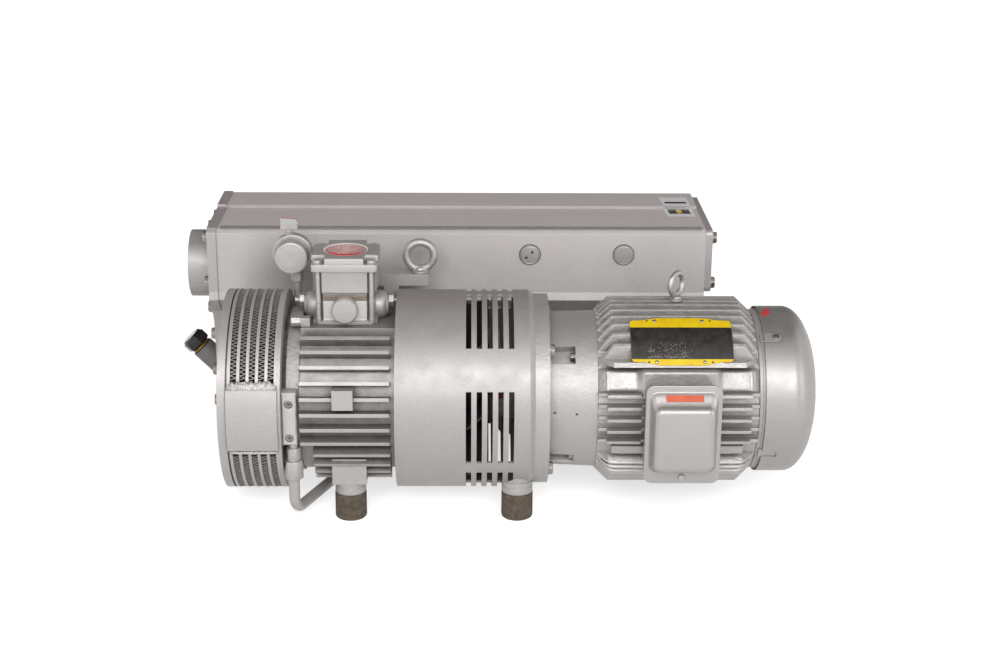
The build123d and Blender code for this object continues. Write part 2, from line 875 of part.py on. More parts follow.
# Fan cover: a drawn dome with an intake grille in its end and four notches over the lugs
cover_end = fan_cover_x + fan_cover_length
dome_x = cover_end - fan_cover_dome
with BuildPart() as motor_fan_cover:
    with BuildSketch(radial(90)):
        with BuildLine():
            Line((fan_cover_x, fan_cover_r), (dome_x, fan_cover_r))
            EllipticalCenterArc((dome_x, dome_flat_r), fan_cover_dome, fan_cover_r - dome_flat_r, 0,
                                arc_size=90)
            Line((cover_end, dome_flat_r), (cover_end, 0))
            Line((cover_end, 0), (cover_end - fan_cover_wall, 0))
            Line((cover_end - fan_cover_wall, 0), (cover_end - fan_cover_wall, dome_flat_r))
            EllipticalCenterArc((dome_x, dome_flat_r), fan_cover_dome - fan_cover_wall,
                                fan_cover_r - dome_flat_r - fan_cover_wall, 0, arc_size=90)
            Line((dome_x, fan_cover_r - fan_cover_wall), (fan_cover_x, fan_cover_r - fan_cover_wall))
            Line((fan_cover_x, fan_cover_r - fan_cover_wall), (fan_cover_x, fan_cover_r))
        make_face()
    revolve(axis=pump_axis)
    with BuildSketch(station(dome_x)):
        for inner, outer in grille_rings:
            for index in range(grille_count):
                ring_sector(inner, outer, 360 / grille_count * index, 360 / grille_count - grille_web)
    extrude(amount=fan_cover_dome + sink, mode=Mode.SUBTRACT)
    with BuildSketch(station(fan_cover_x)):
        for middle in lug_angles:
            ring_sector(fan_cover_r - fan_cover_wall - sink, fan_cover_r + sink,
                        middle - notch_sweep / 2, notch_sweep)
    extrude(amount=lug_length - lug_root, mode=Mode.SUBTRACT)
motor_fan_cover.part.label = "motor_fan_cover"
export_step(motor_fan_cover.part, "parts/motor_fan_cover.step")

# Terminal box, open to the front, with the conduit's hole in its floor
with BuildPart() as terminal_box:
    with BuildSketch(facing(-box_pad, box_x)):
        RectangleRounded(box_width, box_height, lid_corner - box_wall)
    extrude(amount=box_depth)
    with BuildSketch(facing(-box_pad, box_x)):
        Rectangle(box_width - 2 * box_wall, box_height - 2 * box_wall)
    extrude(amount=box_depth, mode=Mode.SUBTRACT)
    with BuildSketch(level(-box_height / 2, box_x, -box_pad - box_depth / 2)):
        Circle(conduit_r)
    extrude(amount=box_wall, mode=Mode.SUBTRACT)
terminal_box.part.label = "terminal_box"
export_step(terminal_box.part, "parts/terminal_box.step")

# Terminal box lid: a flat rim and a drawn dome
with BuildPart() as terminal_box_lid:
    with BuildSketch(facing(-box_pad - box_depth, box_x)):
        RectangleRounded(lid_width, lid_height, lid_corner)
    extrude(amount=lid_rim)
    with BuildSketch(facing(-box_pad - box_depth - lid_rim, box_x, dome_lift)):
        RectangleRounded(dome_width, dome_height, lid_corner)
    with BuildSketch(facing(-box_pad - box_depth - lid_rim - lid_dome, box_x, dome_top_lift)):
        RectangleRounded(dome_top_width, dome_top_height, dome_top_corner)
    loft()
    fillet(terminal_box_lid.faces().sort_by(Axis.Y)[0].edges(), radius=dome_edge)
terminal_box_lid.part.label = "terminal_box_lid"
export_step(terminal_box_lid.part, "parts/terminal_box_lid.step")

# Data plate, bent to the motor's radius
with BuildPart() as data_plate:
    with BuildSketch(station(plate_x)):
        ring_sector(motor_fin_r + clear, motor_fin_r + clear + plate_thickness, 180 - plate_high,
                    plate_high - plate_low)
    extrude(amount=plate_length)
data_plate.part.label = "data_plate"
export_step(data_plate.part, "parts/data_plate.step")

# Pump rotor with its shaft, and slots for the vanes
slot_foot = sqrt(rotor_r**2 - (vane_offset + vane_thickness / 2) ** 2) - vane_depth
with BuildPart() as pump_rotor:
    with BuildSketch(station(shaft_left)):
        Circle(shaft_r)
    extrude(amount=shaft_right - shaft_left)
    with BuildSketch(station(cylinder_x + clear)):
        Circle(rotor_r)
    extrude(amount=cylinder_length - 2 * clear)
    with BuildSketch(station(cylinder_x + clear)):
        with PolarLocations(0, vane_count):
            with Locations((slot_foot, vane_offset)):
                Rectangle(rotor_r - slot_foot, vane_thickness, align=(Align.MIN, Align.CENTER))
    extrude(amount=cylinder_length - 2 * clear, mode=Mode.SUBTRACT)
pump_rotor.part.label = "pump_rotor"
export_step(pump_rotor.part, "parts/pump_rotor.step")

# Vanes, drawn fully into their slots
with BuildPart() as vanes:
    with BuildSketch(station(cylinder_x + clear)):
        with PolarLocations(0, vane_count):
            with Locations((slot_foot + clear, vane_offset)):
                Rectangle(vane_depth - vane_play, vane_thickness - 2 * running,
                          align=(Align.MIN, Align.CENTER))
    extrude(amount=cylinder_length - 2 * clear)
vanes.part.label = "vanes"
export_step(vanes.part, "parts/vanes.step")

# Cooling fan inside the cooler: a back disc, a hub and leaning blades
with BuildPart() as cooling_fan:
    with BuildSketch(station(cooling_fan_x)):
        Circle(shaft_r + cooling_fan_hub)
    extrude(amount=cooling_fan_width)
    with BuildSketch(station(cooling_fan_x + cooling_fan_width - cooling_fan_sheet)):
        Circle(cooling_fan_r)
    extrude(amount=cooling_fan_sheet)
    with BuildSketch(station(cooling_fan_x)):
        with PolarLocations((cooling_fan_r + shaft_r + cooling_fan_hub) / 2 - blade_root, cooling_fan_blades):
            Rectangle(cooling_fan_r - shaft_r - cooling_fan_hub, cooling_fan_sheet, rotation=cooling_fan_lean)
    extrude(amount=cooling_fan_width)
    with BuildSketch(station(cooling_fan_x)):
        Circle(shaft_r)
    extrude(amount=cooling_fan_width, mode=Mode.SUBTRACT)
cooling_fan.part.label = "cooling_fan"
export_step(cooling_fan.part, "parts/cooling_fan.step")

# Pump half of the coupling, with three jaws
with BuildPart() as pump_coupling:
    with BuildSketch(station(pump_coupling_x)):
        Circle(coupling_r)
        Circle(shaft_r, mode=Mode.SUBTRACT)
    extrude(amount=coupling_length)
    with BuildSketch(station(pump_coupling_x + coupling_length)):
        for index in range(jaw_count):
            ring_sector(shaft_r, coupling_r, 360 / jaw_count * index, jaw_sweep)
    extrude(amount=jaw_length - clear)
pump_coupling.part.label = "pump_coupling"
export_step(pump_coupling.part, "parts/pump_coupling.step")

# Motor half of the coupling, whose jaws stand between the pump half's
with BuildPart() as motor_coupling:
    with BuildSketch(station(motor_coupling_x)):
        Circle(coupling_r)
        Circle(motor_shaft_r, mode=Mode.SUBTRACT)
    extrude(amount=coupling_length)
    with BuildSketch(station(motor_coupling_x)):
        for index in range(jaw_count):
            ring_sector(shaft_r, coupling_r, 360 / jaw_count * (index + 0.5), jaw_sweep)
    extrude(amount=clear - jaw_length)
motor_coupling.part.label = "motor_coupling"
export_step(motor_coupling.part, "parts/motor_coupling.step")

# Rubber star between the jaws
star_pitch = 180 / jaw_count
with BuildPart() as coupling_star:
    with BuildSketch(station(pump_coupling_x + coupling_length + clear)):
        Circle(shaft_r - clear)
        for index in range(2 * jaw_count):
            ring_sector(shaft_r - sink, coupling_r, star_pitch * index + jaw_sweep + star_play,
                        star_pitch - jaw_sweep - 2 * star_play)
    extrude(amount=jaw_length - 2 * clear)
coupling_star.part.label = "coupling_star"
export_step(coupling_star.part, "parts/coupling_star.step")

# Axial fan on the pump half of the coupling
with BuildPart() as coupling_fan:
    with BuildSketch(station(pump_coupling_x)):
        Circle(coupling_r + coupling_fan_hub)
        Circle(coupling_r, mode=Mode.SUBTRACT)
    extrude(amount=coupling_length)
    with Locations(station(pump_coupling_x + coupling_length / 2)):
        blade_middle_r = (coupling_fan_r + coupling_r + coupling_fan_hub) / 2 - blade_root
        with PolarLocations(blade_middle_r, coupling_fan_blades):
            Box(coupling_fan_r - coupling_r - coupling_fan_hub, coupling_fan_sheet, coupling_length,
                rotation=(coupling_fan_lean, 0, 0))
coupling_fan.part.label = "coupling_fan"
export_step(coupling_fan.part, "parts/coupling_fan.step")

# Motor rotor and shaft
with BuildPart() as motor_rotor:
    with BuildSketch(station(motor_coupling_x)):
        Circle(motor_shaft_r)
    extrude(amount=motor_shaft_end - motor_coupling_x)
    with BuildSketch(station(motor_x + (frame_length - core_length) / 2)):
        Circle(core_r)
    extrude(amount=core_length)
motor_rotor.part.label = "motor_rotor"
export_step(motor_rotor.part, "parts/motor_rotor.step")

# Motor stator: the core ring in the frame and its two winding heads
with BuildPart() as motor_stator:
    with BuildSketch(station(motor_x + (frame_length - core_length) / 2)):
        Circle(frame_bore_r - running)
        Circle(core_r + air_gap, mode=Mode.SUBTRACT)
    extrude(amount=core_length)
    with BuildSketch(station(motor_x + (frame_length - core_length) / 2 - winding_length)):
        Circle(frame_bore_r - winding_inset)
        Circle(core_r + winding_inset, mode=Mode.SUBTRACT)
    extrude(amount=core_length + 2 * winding_length)
motor_stator.part.label = "motor_stator"
export_step(motor_stator.part, "parts/motor_stator.step")

# Motor fan behind the end shield
with BuildPart() as motor_fan:
    with BuildSketch(station(motor_fan_x)):
        Circle(motor_fan_r)
    extrude(amount=motor_fan_sheet)
    with BuildSketch(station(motor_fan_x)):
        Circle(motor_shaft_r + motor_fan_hub)
        with PolarLocations((motor_fan_r + motor_shaft_r + motor_fan_hub) / 2 - blade_root, motor_fan_blades):
            Rectangle(motor_fan_r - motor_shaft_r - motor_fan_hub, motor_fan_sheet)
    extrude(amount=motor_fan_width)
    with BuildSketch(station(motor_fan_x)):
        Circle(motor_shaft_r)
    extrude(amount=motor_fan_width, mode=Mode.SUBTRACT)
motor_fan.part.label = "motor_fan"
export_step(motor_fan.part, "parts/motor_fan.step")

# Inlet housing: a round body with a lobe at each side, on a square foot
chamber_r = valve_plate_r + valve_play
with BuildPart() as inlet_housing:
    with BuildSketch(level(deck_height, inlet_x)):
        Circle(inlet_foot_r)
    extrude(amount=inlet_foot)
    with BuildSketch(level(deck_height, inlet_x)):
        Circle(chamber_r + inlet_wall)
    extrude(amount=inlet_parting - deck_height)
    with BuildSketch(station(inlet_x - lobe_reach, 0, lobe_z)):
        Circle(lobe_r)
    extrude(amount=2 * lobe_reach)
    with BuildSketch(facing(0, inlet_x, lobe_z)):
        Circle(lobe_r)
    extrude(amount=inlet_plug_seat)
    with BuildSketch(level(deck_height + inlet_foot, inlet_x)):
        Circle(chamber_r)
    extrude(amount=inlet_parting - deck_height - inlet_foot, mode=Mode.SUBTRACT)
    with BuildSketch(level(deck_height, inlet_x, passage_y)):
        Circle(passage_r)
    extrude(amount=inlet_foot, mode=Mode.SUBTRACT)
inlet_housing.part.label = "inlet_housing"
export_step(inlet_housing.part, "parts/inlet_housing.step")

# Inlet flange: the threaded port, its square head with bolt pockets and the valve's seat
with BuildPart() as inlet_flange:
    with BuildSketch(level(inlet_parting, inlet_x)):
        Circle(chamber_r + inlet_wall)
        with Locations((0, neck_shift)):
            RectangleRounded(neck_width, neck_depth, neck_corner)
    extrude(amount=inlet_flange_low - inlet_parting)
    with BuildSketch(level(inlet_flange_low, inlet_x)):
        RectangleRounded(inlet_flange_side, inlet_flange_depth, inlet_flange_corner)
    extrude(amount=inlet_flange_high - inlet_flange_low)
    with BuildSketch(level(inlet_flange_high, inlet_x)):
        with GridLocations(inlet_flange_side - inlet_pocket, inlet_flange_depth - inlet_pocket, 2, 2):
            Rectangle(inlet_pocket, inlet_pocket)
    extrude(amount=-inlet_pocket_depth, mode=Mode.SUBTRACT)
    with BuildSketch(level(inlet_flange_high - inlet_pocket_depth, inlet_x)):
        with GridLocations(inlet_bolt_x, inlet_bolt_y, 2, 2):
            Circle(tie_rod_r + clear)
    extrude(amount=inlet_parting - inlet_flange_high, mode=Mode.SUBTRACT)
    with BuildSketch(level(inlet_flange_high, inlet_x)):
        Circle(inlet_thread_r)
    extrude(amount=inlet_parting - inlet_flange_high, mode=Mode.SUBTRACT)
    with BuildSketch(level(inlet_flange_high, inlet_x)):
        Circle(inlet_thread_r + seal_wall)
    extrude(amount=-seal_length, mode=Mode.SUBTRACT)
    with BuildSketch(level(inlet_parting, inlet_x)):
        Circle(chamber_r)
    extrude(amount=valve_seat - inlet_parting, mode=Mode.SUBTRACT)
    chamfer(inlet_flange.edges().filter_by(GeomType.CIRCLE).group_by(Axis.Z)[-1], length=inlet_bevel)
inlet_flange.part.label = "inlet_flange"
export_step(inlet_flange.part, "parts/inlet_flange.step")

# Red ring in the mouth of the inlet port
with BuildPart() as inlet_ring:
    with BuildSketch(level(inlet_flange_high - seal_length, inlet_x)):
        Circle(inlet_thread_r + seal_wall)
        Circle(inlet_thread_r + seal_step, mode=Mode.SUBTRACT)
    extrude(amount=seal_length - seal_recess)
inlet_ring.part.label = "inlet_ring"
export_step(inlet_ring.part, "parts/inlet_ring.step")

# Check valve: a plate pressed up against its seat by a spring
with BuildPart() as valve_plate:
    with BuildSketch(level(valve_seat, inlet_x)):
        Circle(valve_plate_r)
    extrude(amount=-valve_plate_thickness)
valve_plate.part.label = "valve_plate"
export_step(valve_plate.part, "parts/valve_plate.step")

# Tie bolts through the inlet's two castings
with BuildPart() as tie_bolts:
    with BuildSketch(level(deck_height, inlet_x)):
        with GridLocations(inlet_bolt_x, inlet_bolt_y, 2, 2):
            Circle(tie_rod_r)
    extrude(amount=inlet_flange_high - inlet_pocket_depth - deck_height)
    with BuildSketch(level(inlet_flange_high - inlet_pocket_depth, inlet_x)):
        with GridLocations(inlet_bolt_x, inlet_bolt_y, 2, 2):
            RegularPolygon(radius=tie_bolt_across / 2, side_count=6, major_radius=False)
    extrude(amount=tie_bolt_head)
tie_bolts.part.label = "tie_bolts"
export_step(tie_bolts.part, "parts/tie_bolts.step")

# Round plug in the inlet housing's front
with BuildPart() as inlet_plug:
    with BuildSketch(facing(-inlet_plug_seat, inlet_x, lobe_z)):
        Circle(lobe_r - inlet_plug_step)
    extrude(amount=inlet_plug_height)
inlet_plug.part.label = "inlet_plug"
export_step(inlet_plug.part, "parts/inlet_plug.step")

# Hexagon fittings on the inlet's lobes and on the cylinder's lug
with BuildPart() as inlet_fittings:
    for end in (-1, 1):
        with BuildSketch(station(inlet_x + end * lobe_reach, 0, lobe_z)):
            RegularPolygon(radius=fitting_across / 2, side_count=6, major_radius=False)
        extrude(amount=end * fitting_length)
        with BuildSketch(station(inlet_x + end * (lobe_reach + fitting_length), 0, lobe_z)):
            Circle(fitting_across / 4)
        extrude(amount=end * fitting_length)
    with BuildSketch(level(deck_height, cylinder_x + lug_side / 2, lug_y)):
        Rectangle(lug_side, lug_side)
    extrude(amount=lug_side)
    with BuildSketch(station(cylinder_x, lug_y, deck_height + lug_side / 2)):
        RegularPolygon(radius=lug_side / 2, side_count=6, major_radius=False)
    extrude(amount=-fitting_length * 2)
inlet_fittings.part.label = "inlet_fittings"
export_step(inlet_fittings.part, "parts/inlet_fittings.step")

# Gas ballast's riser pipe
with BuildPart() as ballast_pipe:
    with BuildSketch(level(ballast_pipe_low, ballast_pipe_x, ballast_y)):
        Circle(ballast_pipe_r)
    extrude(amount=ballast_hex_low - ballast_pipe_low)
ballast_pipe.part.label = "ballast_pipe"
export_step(ballast_pipe.part, "parts/ballast_pipe.step")

# Gas ballast valve body behind the filter, with the lever's post
with BuildPart() as ballast_valve:
    with BuildSketch(level(ballast_hex_low, ballast_pipe_x, ballast_y)):
        RegularPolygon(radius=ballast_across / 2, side_count=6, major_radius=False)
    extrude(amount=ballast_z - ballast_hex_low)
    with BuildSketch(facing(ballast_y - ballast_seat, ballast_x, ballast_z)):
        Circle(ballast_collar_r)
    extrude(amount=-ballast_collar_length)
    with BuildSketch(level(ballast_z, ballast_lever_x, ballast_y)):
        Circle(lever_post_r)
    extrude(amount=ballast_collar_r + lever_post_rise)
ballast_valve.part.label = "ballast_valve"
export_step(ballast_valve.part, "parts/ballast_valve.step")

# Round filter on the ballast valve
with BuildPart() as ballast_filter:
    with BuildSketch(facing(ballast_y - ballast_seat, ballast_x, ballast_z)):
        Circle(ballast_filter_r)
    extrude(amount=ballast_filter_length)
    chamfer(ballast_filter.faces().sort_by(Axis.Y)[0].edges(), length=ballast_bevel)
ballast_filter.part.label = "ballast_filter"
export_step(ballast_filter.part, "parts/ballast_filter.step")

# Lever that turns on the ballast valve's post
with BuildPart() as ballast_lever:
    post_top = ballast_z + ballast_collar_r + lever_post_rise
    with BuildSketch(level(post_top + clear, ballast_lever_x, ballast_y)):
        Circle(lever_post_r)
    extrude(amount=lever_foot)
    with BuildSketch(facing(ballast_y + lever_sheet / 2, ballast_lever_x, lever_low)):
        with BuildLine():
            Polyline((-lever_width / 2, 0), (lever_width / 2, 0),
                     (lever_width / 2, lever_height - lever_bevel_height),
                     (lever_width / 2 - lever_bevel_width, lever_height), (-lever_width / 2, lever_height),
                     close=True)
        make_face()
    extrude(amount=lever_sheet)
ballast_lever.part.label = "ballast_lever"
export_step(ballast_lever.part, "parts/ballast_lever.step")

# Lifting bar on two legs
with BuildPart() as lifting_bar:
    with BuildSketch(level(bar_low, 0, bar_front)):
        with Locations(((bar_left + bar_right) / 2, bar_depth / 2)):
            Rectangle(bar_right - bar_left, bar_depth)
    extrude(amount=bar_height)
    with BuildSketch(level(deck_height, 0, bar_front)):
        for leg_x in (bar_left + bar_leg / 2, hood_x - clear - bar_leg / 2):
            with Locations((leg_x, bar_depth / 2)):
                Rectangle(bar_leg, bar_depth)
    extrude(amount=bar_low - deck_height)
lifting_bar.part.label = "lifting_bar"
export_step(lifting_bar.part, "parts/lifting_bar.step")

# Eye bolts on the bar and on the motor
with BuildPart() as eye_bolts:
    for base, turn in (((lifting_eye_x, bar_front + bar_depth / 2, bar_low + bar_height), 0),
                       ((motor_eye_x, 0, motor_fin_r), motor_eye_turn)):
        x, y, z = base
        with BuildSketch(level(z, x, y)):
            Circle(eye_collar_r)
        extrude(amount=eye_collar)
        slope = radians(turn)
        middle = (x, axis_y + y, axis_z + z + eye_collar + eye_ring_r + eye_wire / 2)
        along, across = (cos(slope), sin(slope), 0), (sin(slope), -cos(slope), 0)
        with BuildSketch(Plane(origin=middle, x_dir=across, z_dir=along)):
            with Locations((0, eye_ring_r)):
                RegularPolygon(radius=eye_wire, side_count=eye_sides)
        revolve(axis=Axis(middle, across))
eye_bolts.part.label = "eye_bolts"
export_step(eye_bolts.part, "parts/eye_bolts.step")

# Check valve's spring, a square wire wound in straight runs
spring_foot = deck_height + inlet_foot + clear + spring_wire / 2
turn_run = valve_seat - valve_plate_thickness - deck_height - inlet_foot - spring_wire - 2 * clear
spring_points = [(inlet_x + spring_r * cos(radians(index * spring_bend)),
                  axis_y + spring_r * sin(radians(index * spring_bend)),
                  axis_z + spring_foot + turn_run * index / spring_runs)
                 for index in range(spring_runs + 1)]
with BuildPart() as valve_spring:
    with BuildLine() as spring_line:
        Polyline(*spring_points)
    with BuildSketch(Plane(origin=spring_points[0], x_dir=(1, 0, 0), z_dir=spring_line.line % 0)):
        Rectangle(spring_wire, spring_wire)
    sweep(path=spring_line.wires()[0], transition=Transition.RIGHT)
valve_spring.part.label = "valve_spring"
export_step(valve_spring.part, "parts/valve_spring.step")

# Oil manifold on the end cover's land
manifold_x = fan_cover_face + manifold_width / 2
with BuildPart() as oil_manifold:
    with BuildSketch(facing(-manifold_seat, manifold_x, (manifold_top + manifold_low) / 2)):
        Rectangle(manifold_width, manifold_top - manifold_low)
    extrude(amount=manifold_depth)
    with BuildSketch(facing(-manifold_front, manifold_x)):
        with Locations(*[(0, z) for z in manifold_screw_z]):
            Circle(manifold_screw_r)
    extrude(amount=-manifold_depth, mode=Mode.SUBTRACT)
    chamfer(oil_manifold.faces().sort_by(Axis.Y)[0].outer_wire().edges(), length=manifold_bevel)
oil_manifold.part.label = "oil_manifold"
export_step(oil_manifold.part, "parts/oil_manifold.step")

# Socket screws of the manifold
with BuildPart() as manifold_screws:
    with BuildSketch(facing(-manifold_seat, manifold_x)):
        with Locations(*[(0, z) for z in manifold_screw_z]):
            Circle(manifold_screw_r - running)
    extrude(amount=manifold_depth - screw_recess)
    with BuildSketch(facing(screw_recess - manifold_front, manifold_x)):
        with Locations(*[(0, z) for z in manifold_screw_z]):
            RegularPolygon(radius=manifold_screw_r / 2, side_count=6, major_radius=False)
    extrude(amount=-socket_depth, mode=Mode.SUBTRACT)
manifold_screws.part.label = "manifold_screws"
export_step(manifold_screws.part, "parts/manifold_screws.step")

# Steel oil pipe from the manifold, under the cylinder and up into the sump's front wall
pipe_points = [(pipe_left, oil_pipe_y, pipe_start), (pipe_left, oil_pipe_y, oil_pipe_low),
               (pipe_right, pipe_rear_y, oil_pipe_low), (pipe_right, pipe_rear_y, pipe_end_z),
               (pipe_right, sump_front, pipe_end_z)]
with BuildPart() as oil_pipe:
    with BuildLine() as pipe_line:
        FilletPolyline(*[(x, axis_y + y, axis_z + z) for x, y, z in pipe_points], radius=oil_pipe_bend)
    with BuildSketch(level(pipe_start, pipe_left, oil_pipe_y)):
        Circle(oil_pipe_r)
    sweep(path=pipe_line.wires()[0])
oil_pipe.part.label = "oil_pipe"
export_step(oil_pipe.part, "parts/oil_pipe.step")

# Hexagon fittings at the pipe's two ends
with BuildPart() as pipe_fittings:
    with BuildSketch(level(manifold_low, pipe_left, oil_pipe_y)):
        Circle(oil_pipe_r - elbow_neck_step)
    extrude(amount=-elbow_neck)
    with BuildSketch(level(manifold_low - elbow_neck, pipe_left, oil_pipe_y)):
        RegularPolygon(radius=elbow_across / 2, side_count=6, major_radius=False)
    extrude(amount=-elbow_length)
    with BuildSketch(level(pipe_start + nut_length, pipe_left, oil_pipe_y)):
        Circle(oil_pipe_r + nut_collar_step)
    extrude(amount=nut_collar)
    with BuildSketch(level(pipe_start, pipe_left, oil_pipe_y)):
        RegularPolygon(radius=nut_across / 2, side_count=6, major_radius=False)
    extrude(amount=nut_length)
    with BuildSketch(facing(sump_front, pipe_right, pipe_end_z)):
        RegularPolygon(radius=rear_nut_across / 2, side_count=6, major_radius=False)
        Circle(oil_pipe_r + running, mode=Mode.SUBTRACT)
    extrude(amount=rear_nut_length)
pipe_fittings.part.label = "pipe_fittings"
export_step(pipe_fittings.part, "parts/pipe_fittings.step")

# Oil separator: a folded shell with end walls, a partition for the filters and pads for two feet
shell_points = [(tank_front, tank_shelf), (tank_front - shelf_lean, tank_shelf - shelf_lip),
                (sump_front - slope_top_inset, slope_top), (sump_front - slope_bend_inset, slope_bend),
                (sump_front, slope_foot), (sump_front, sump_low), (tank_back, sump_low),
                (tank_back, tank_top + rear_panel_step), (rear_panel_front, tank_top + rear_panel_step),
                (rear_panel_front, tank_top), (tank_front + tank_bevel, tank_top),
                (tank_front, tank_top - tank_bevel)]
with BuildPart() as separator_housing:
    with BuildSketch(station(tank_x)) as shell_outline:
        with BuildLine():
            Polyline(*shell_points, close=True)
        make_face()
    extrude(amount=tank_length)
    with BuildSketch(station(tank_x)) as shell_inside:
        with BuildLine():
            Polyline(*shell_points, close=True)
        make_face()
        offset(amount=-tank_wall)
    extrude(amount=tank_length - tank_wall, mode=Mode.SUBTRACT)
    with BuildSketch(station(tank_end - tank_wall - filter_length - tank_wall)):
        with BuildLine():
            Polyline(*shell_points, close=True)
        make_face()
        with Locations(((tank_front + tank_back) / 2, (partition_low + tank_top) / 2)):
            Rectangle(tank_back - tank_front, tank_top - partition_low, mode=Mode.INTERSECT)
        with Locations(*[(y, filter_z) for y in filter_y]):
            Circle(filter_core_r, mode=Mode.SUBTRACT)
    extrude(amount=tank_wall)
    with BuildSketch(station(tank_x)):
        with Locations(((sump_front + tank_back) / 2, partition_low + tank_wall / 2)):
            Rectangle(tank_back - sump_front - tank_wall, tank_wall)
    extrude(amount=tank_length - filter_length - 2 * tank_wall)
    with BuildSketch(station(tank_end - tank_wall)):
        with Locations(*[(y, filter_z) for y in filter_y]):
            Circle(filter_r + clear)
    extrude(amount=tank_wall, mode=Mode.SUBTRACT)
    with BuildSketch(level(foot_plane, 0, foot_rear_y)):
        with Locations(*[(x, 0) for x in foot_x]):
            Rectangle(2 * (stud_r + pad_margin), 2 * (stud_r + pad_margin))
    extrude(amount=sump_low - foot_plane)
    with BuildSketch(facing(sump_front, pipe_right, pipe_end_z)):
        Circle(oil_pipe_r - oil_pipe_wall)
    extrude(amount=-tank_wall, mode=Mode.SUBTRACT)
separator_housing.part.label = "separator_housing"
export_step(separator_housing.part, "parts/separator_housing.step")

# Left end plate, with the outlet's hole and the slanting hole for oil
plate_face = tank_x - left_plate_thickness
filler_axis = Plane(origin=(plate_face, axis_y + filler_y, axis_z + filler_foot_z), x_dir=(0, 1, 0),
                    z_dir=(-cos(radians(filler_tilt)), 0, sin(radians(filler_tilt))))
with BuildPart() as separator_end_plate:
    with BuildSketch(station(plate_face)):
        with BuildLine():
            Polyline(*shell_points, close=True)
        make_face()
        offset(amount=left_plate_margin)
        with Locations((outlet_y, outlet_z)):
            Circle(outlet_thread_r + outlet_step, mode=Mode.SUBTRACT)
    extrude(amount=left_plate_thickness)
    with BuildSketch(filler_axis.offset(-filler_root)):
        Circle(filler_mouth_r)
    extrude(amount=filler_root + filler_neck_end, mode=Mode.SUBTRACT)
separator_end_plate.part.label = "separator_end_plate"
export_step(separator_end_plate.part, "parts/separator_end_plate.step")

# Right end cover over the filters
with BuildPart() as separator_end_cover:
    with BuildSketch(station(tank_end)):
        with Locations(((tank_front + tank_back) / 2, (tank_shelf + tank_top) / 2)):
            RectangleRounded(tank_back - tank_front, tank_top - tank_shelf, right_plate_corner)
    extrude(amount=right_plate_thickness)
separator_end_cover.part.label = "separator_end_cover"
export_step(separator_end_cover.part, "parts/separator_end_cover.step")

# Exhaust outlet neck on the left end plate
with BuildPart() as exhaust_outlet:
    with BuildSketch(station(plate_face - outlet_length, outlet_y, outlet_z)):
        Circle(outlet_r)
        Circle(outlet_thread_r, mode=Mode.SUBTRACT)
    extrude(amount=outlet_length)
exhaust_outlet.part.label = "exhaust_outlet"
export_step(exhaust_outlet.part, "parts/exhaust_outlet.step")

# Exhaust filters, two hollow cartridges with a closed right end
with BuildPart() as exhaust_filters:
    with BuildSketch(station(tank_end - tank_wall - filter_length)):
        with Locations(*[(y, filter_z) for y in filter_y]):
            Circle(filter_r)
            Circle(filter_core_r, mode=Mode.SUBTRACT)
    extrude(amount=filter_length)
    with BuildSketch(station(tank_end - tank_wall)):
        with Locations(*[(y, filter_z) for y in filter_y]):
            Circle(filter_r)
    extrude(amount=tank_wall)
exhaust_filters.part.label = "exhaust_filters"
export_step(exhaust_filters.part, "parts/exhaust_filters.step")

# Hexagon bolts of the end plates, the flange and the bell housing
bolt_front, bolt_rear = tank_front + bolt_inset, tank_back - bolt_inset
bolt_top, bolt_low = tank_top - bolt_top_inset, sump_low + bolt_low_rise
bolt_shelf = tank_shelf + bolt_shelf_rise
left_bolts = [(y, bolt_top) for y in spread(bolt_front, bolt_rear, left_bolt_count)]
left_bolts += [(y, bolt_low) for y in spread(sump_front + bolt_inset, bolt_rear, low_bolt_count)]
left_bolts += [(bolt_rear, z) for z in spread(bolt_low, bolt_top, left_bolt_count)[1:-1]]
left_bolts += [(sump_front + y, z) for y, z in sump_bolts] + [(bolt_front, bolt_shelf)]
right_rows = spread(bolt_front, bolt_rear, right_bolt_count)
right_bolts = [(y, z) for y in right_rows for z in (bolt_shelf, bolt_top)]
with BuildPart() as hex_bolts:
    with BuildSketch(station(plate_face)):
        with Locations(*left_bolts):
            RegularPolygon(radius=bolt_across / 2, side_count=6, major_radius=False)
    extrude(amount=-bolt_head)
    with BuildSketch(station(tank_end + right_plate_thickness)):
        with Locations(*right_bolts):
            RegularPolygon(radius=bolt_across / 2, side_count=6, major_radius=False)
    extrude(amount=bolt_head)
    with BuildSketch(station(bell_x)):
        with PolarLocations(flange_bolt_r, ring_bolt_count, ring_bolt_turn):
            RegularPolygon(radius=bolt_across / 2, side_count=6, major_radius=False)
    extrude(amount=bolt_head)
    with BuildSketch(station(bell_x + pocket_inset + pocket_length)):
        with PolarLocations(pocket_bolt_r, ring_bolt_count, ring_bolt_turn):
            RegularPolygon(radius=pocket_bolt_across / 2, side_count=6, major_radius=False)
    extrude(amount=-bolt_head)
hex_bolts.part.label = "hex_bolts"
export_step(hex_bolts.part, "parts/hex_bolts.step")

# Round plugs on the separator's front
with BuildPart() as housing_plugs:
    with BuildSketch(facing(tank_front, 0, plug_z)):
        with Locations(*[(x, 0) for x in plug_x]):
            Circle(plug_r)
    extrude(amount=plug_height)
    with BuildSketch(facing(tank_front - plug_height, plug_x[0], plug_z)):
        with GridLocations(plug_r, 0, 2, 1):
            Circle(plug_hole_r)
    extrude(amount=-plug_hole_depth, mode=Mode.SUBTRACT)
housing_plugs.part.label = "housing_plugs"
export_step(housing_plugs.part, "parts/housing_plugs.step")

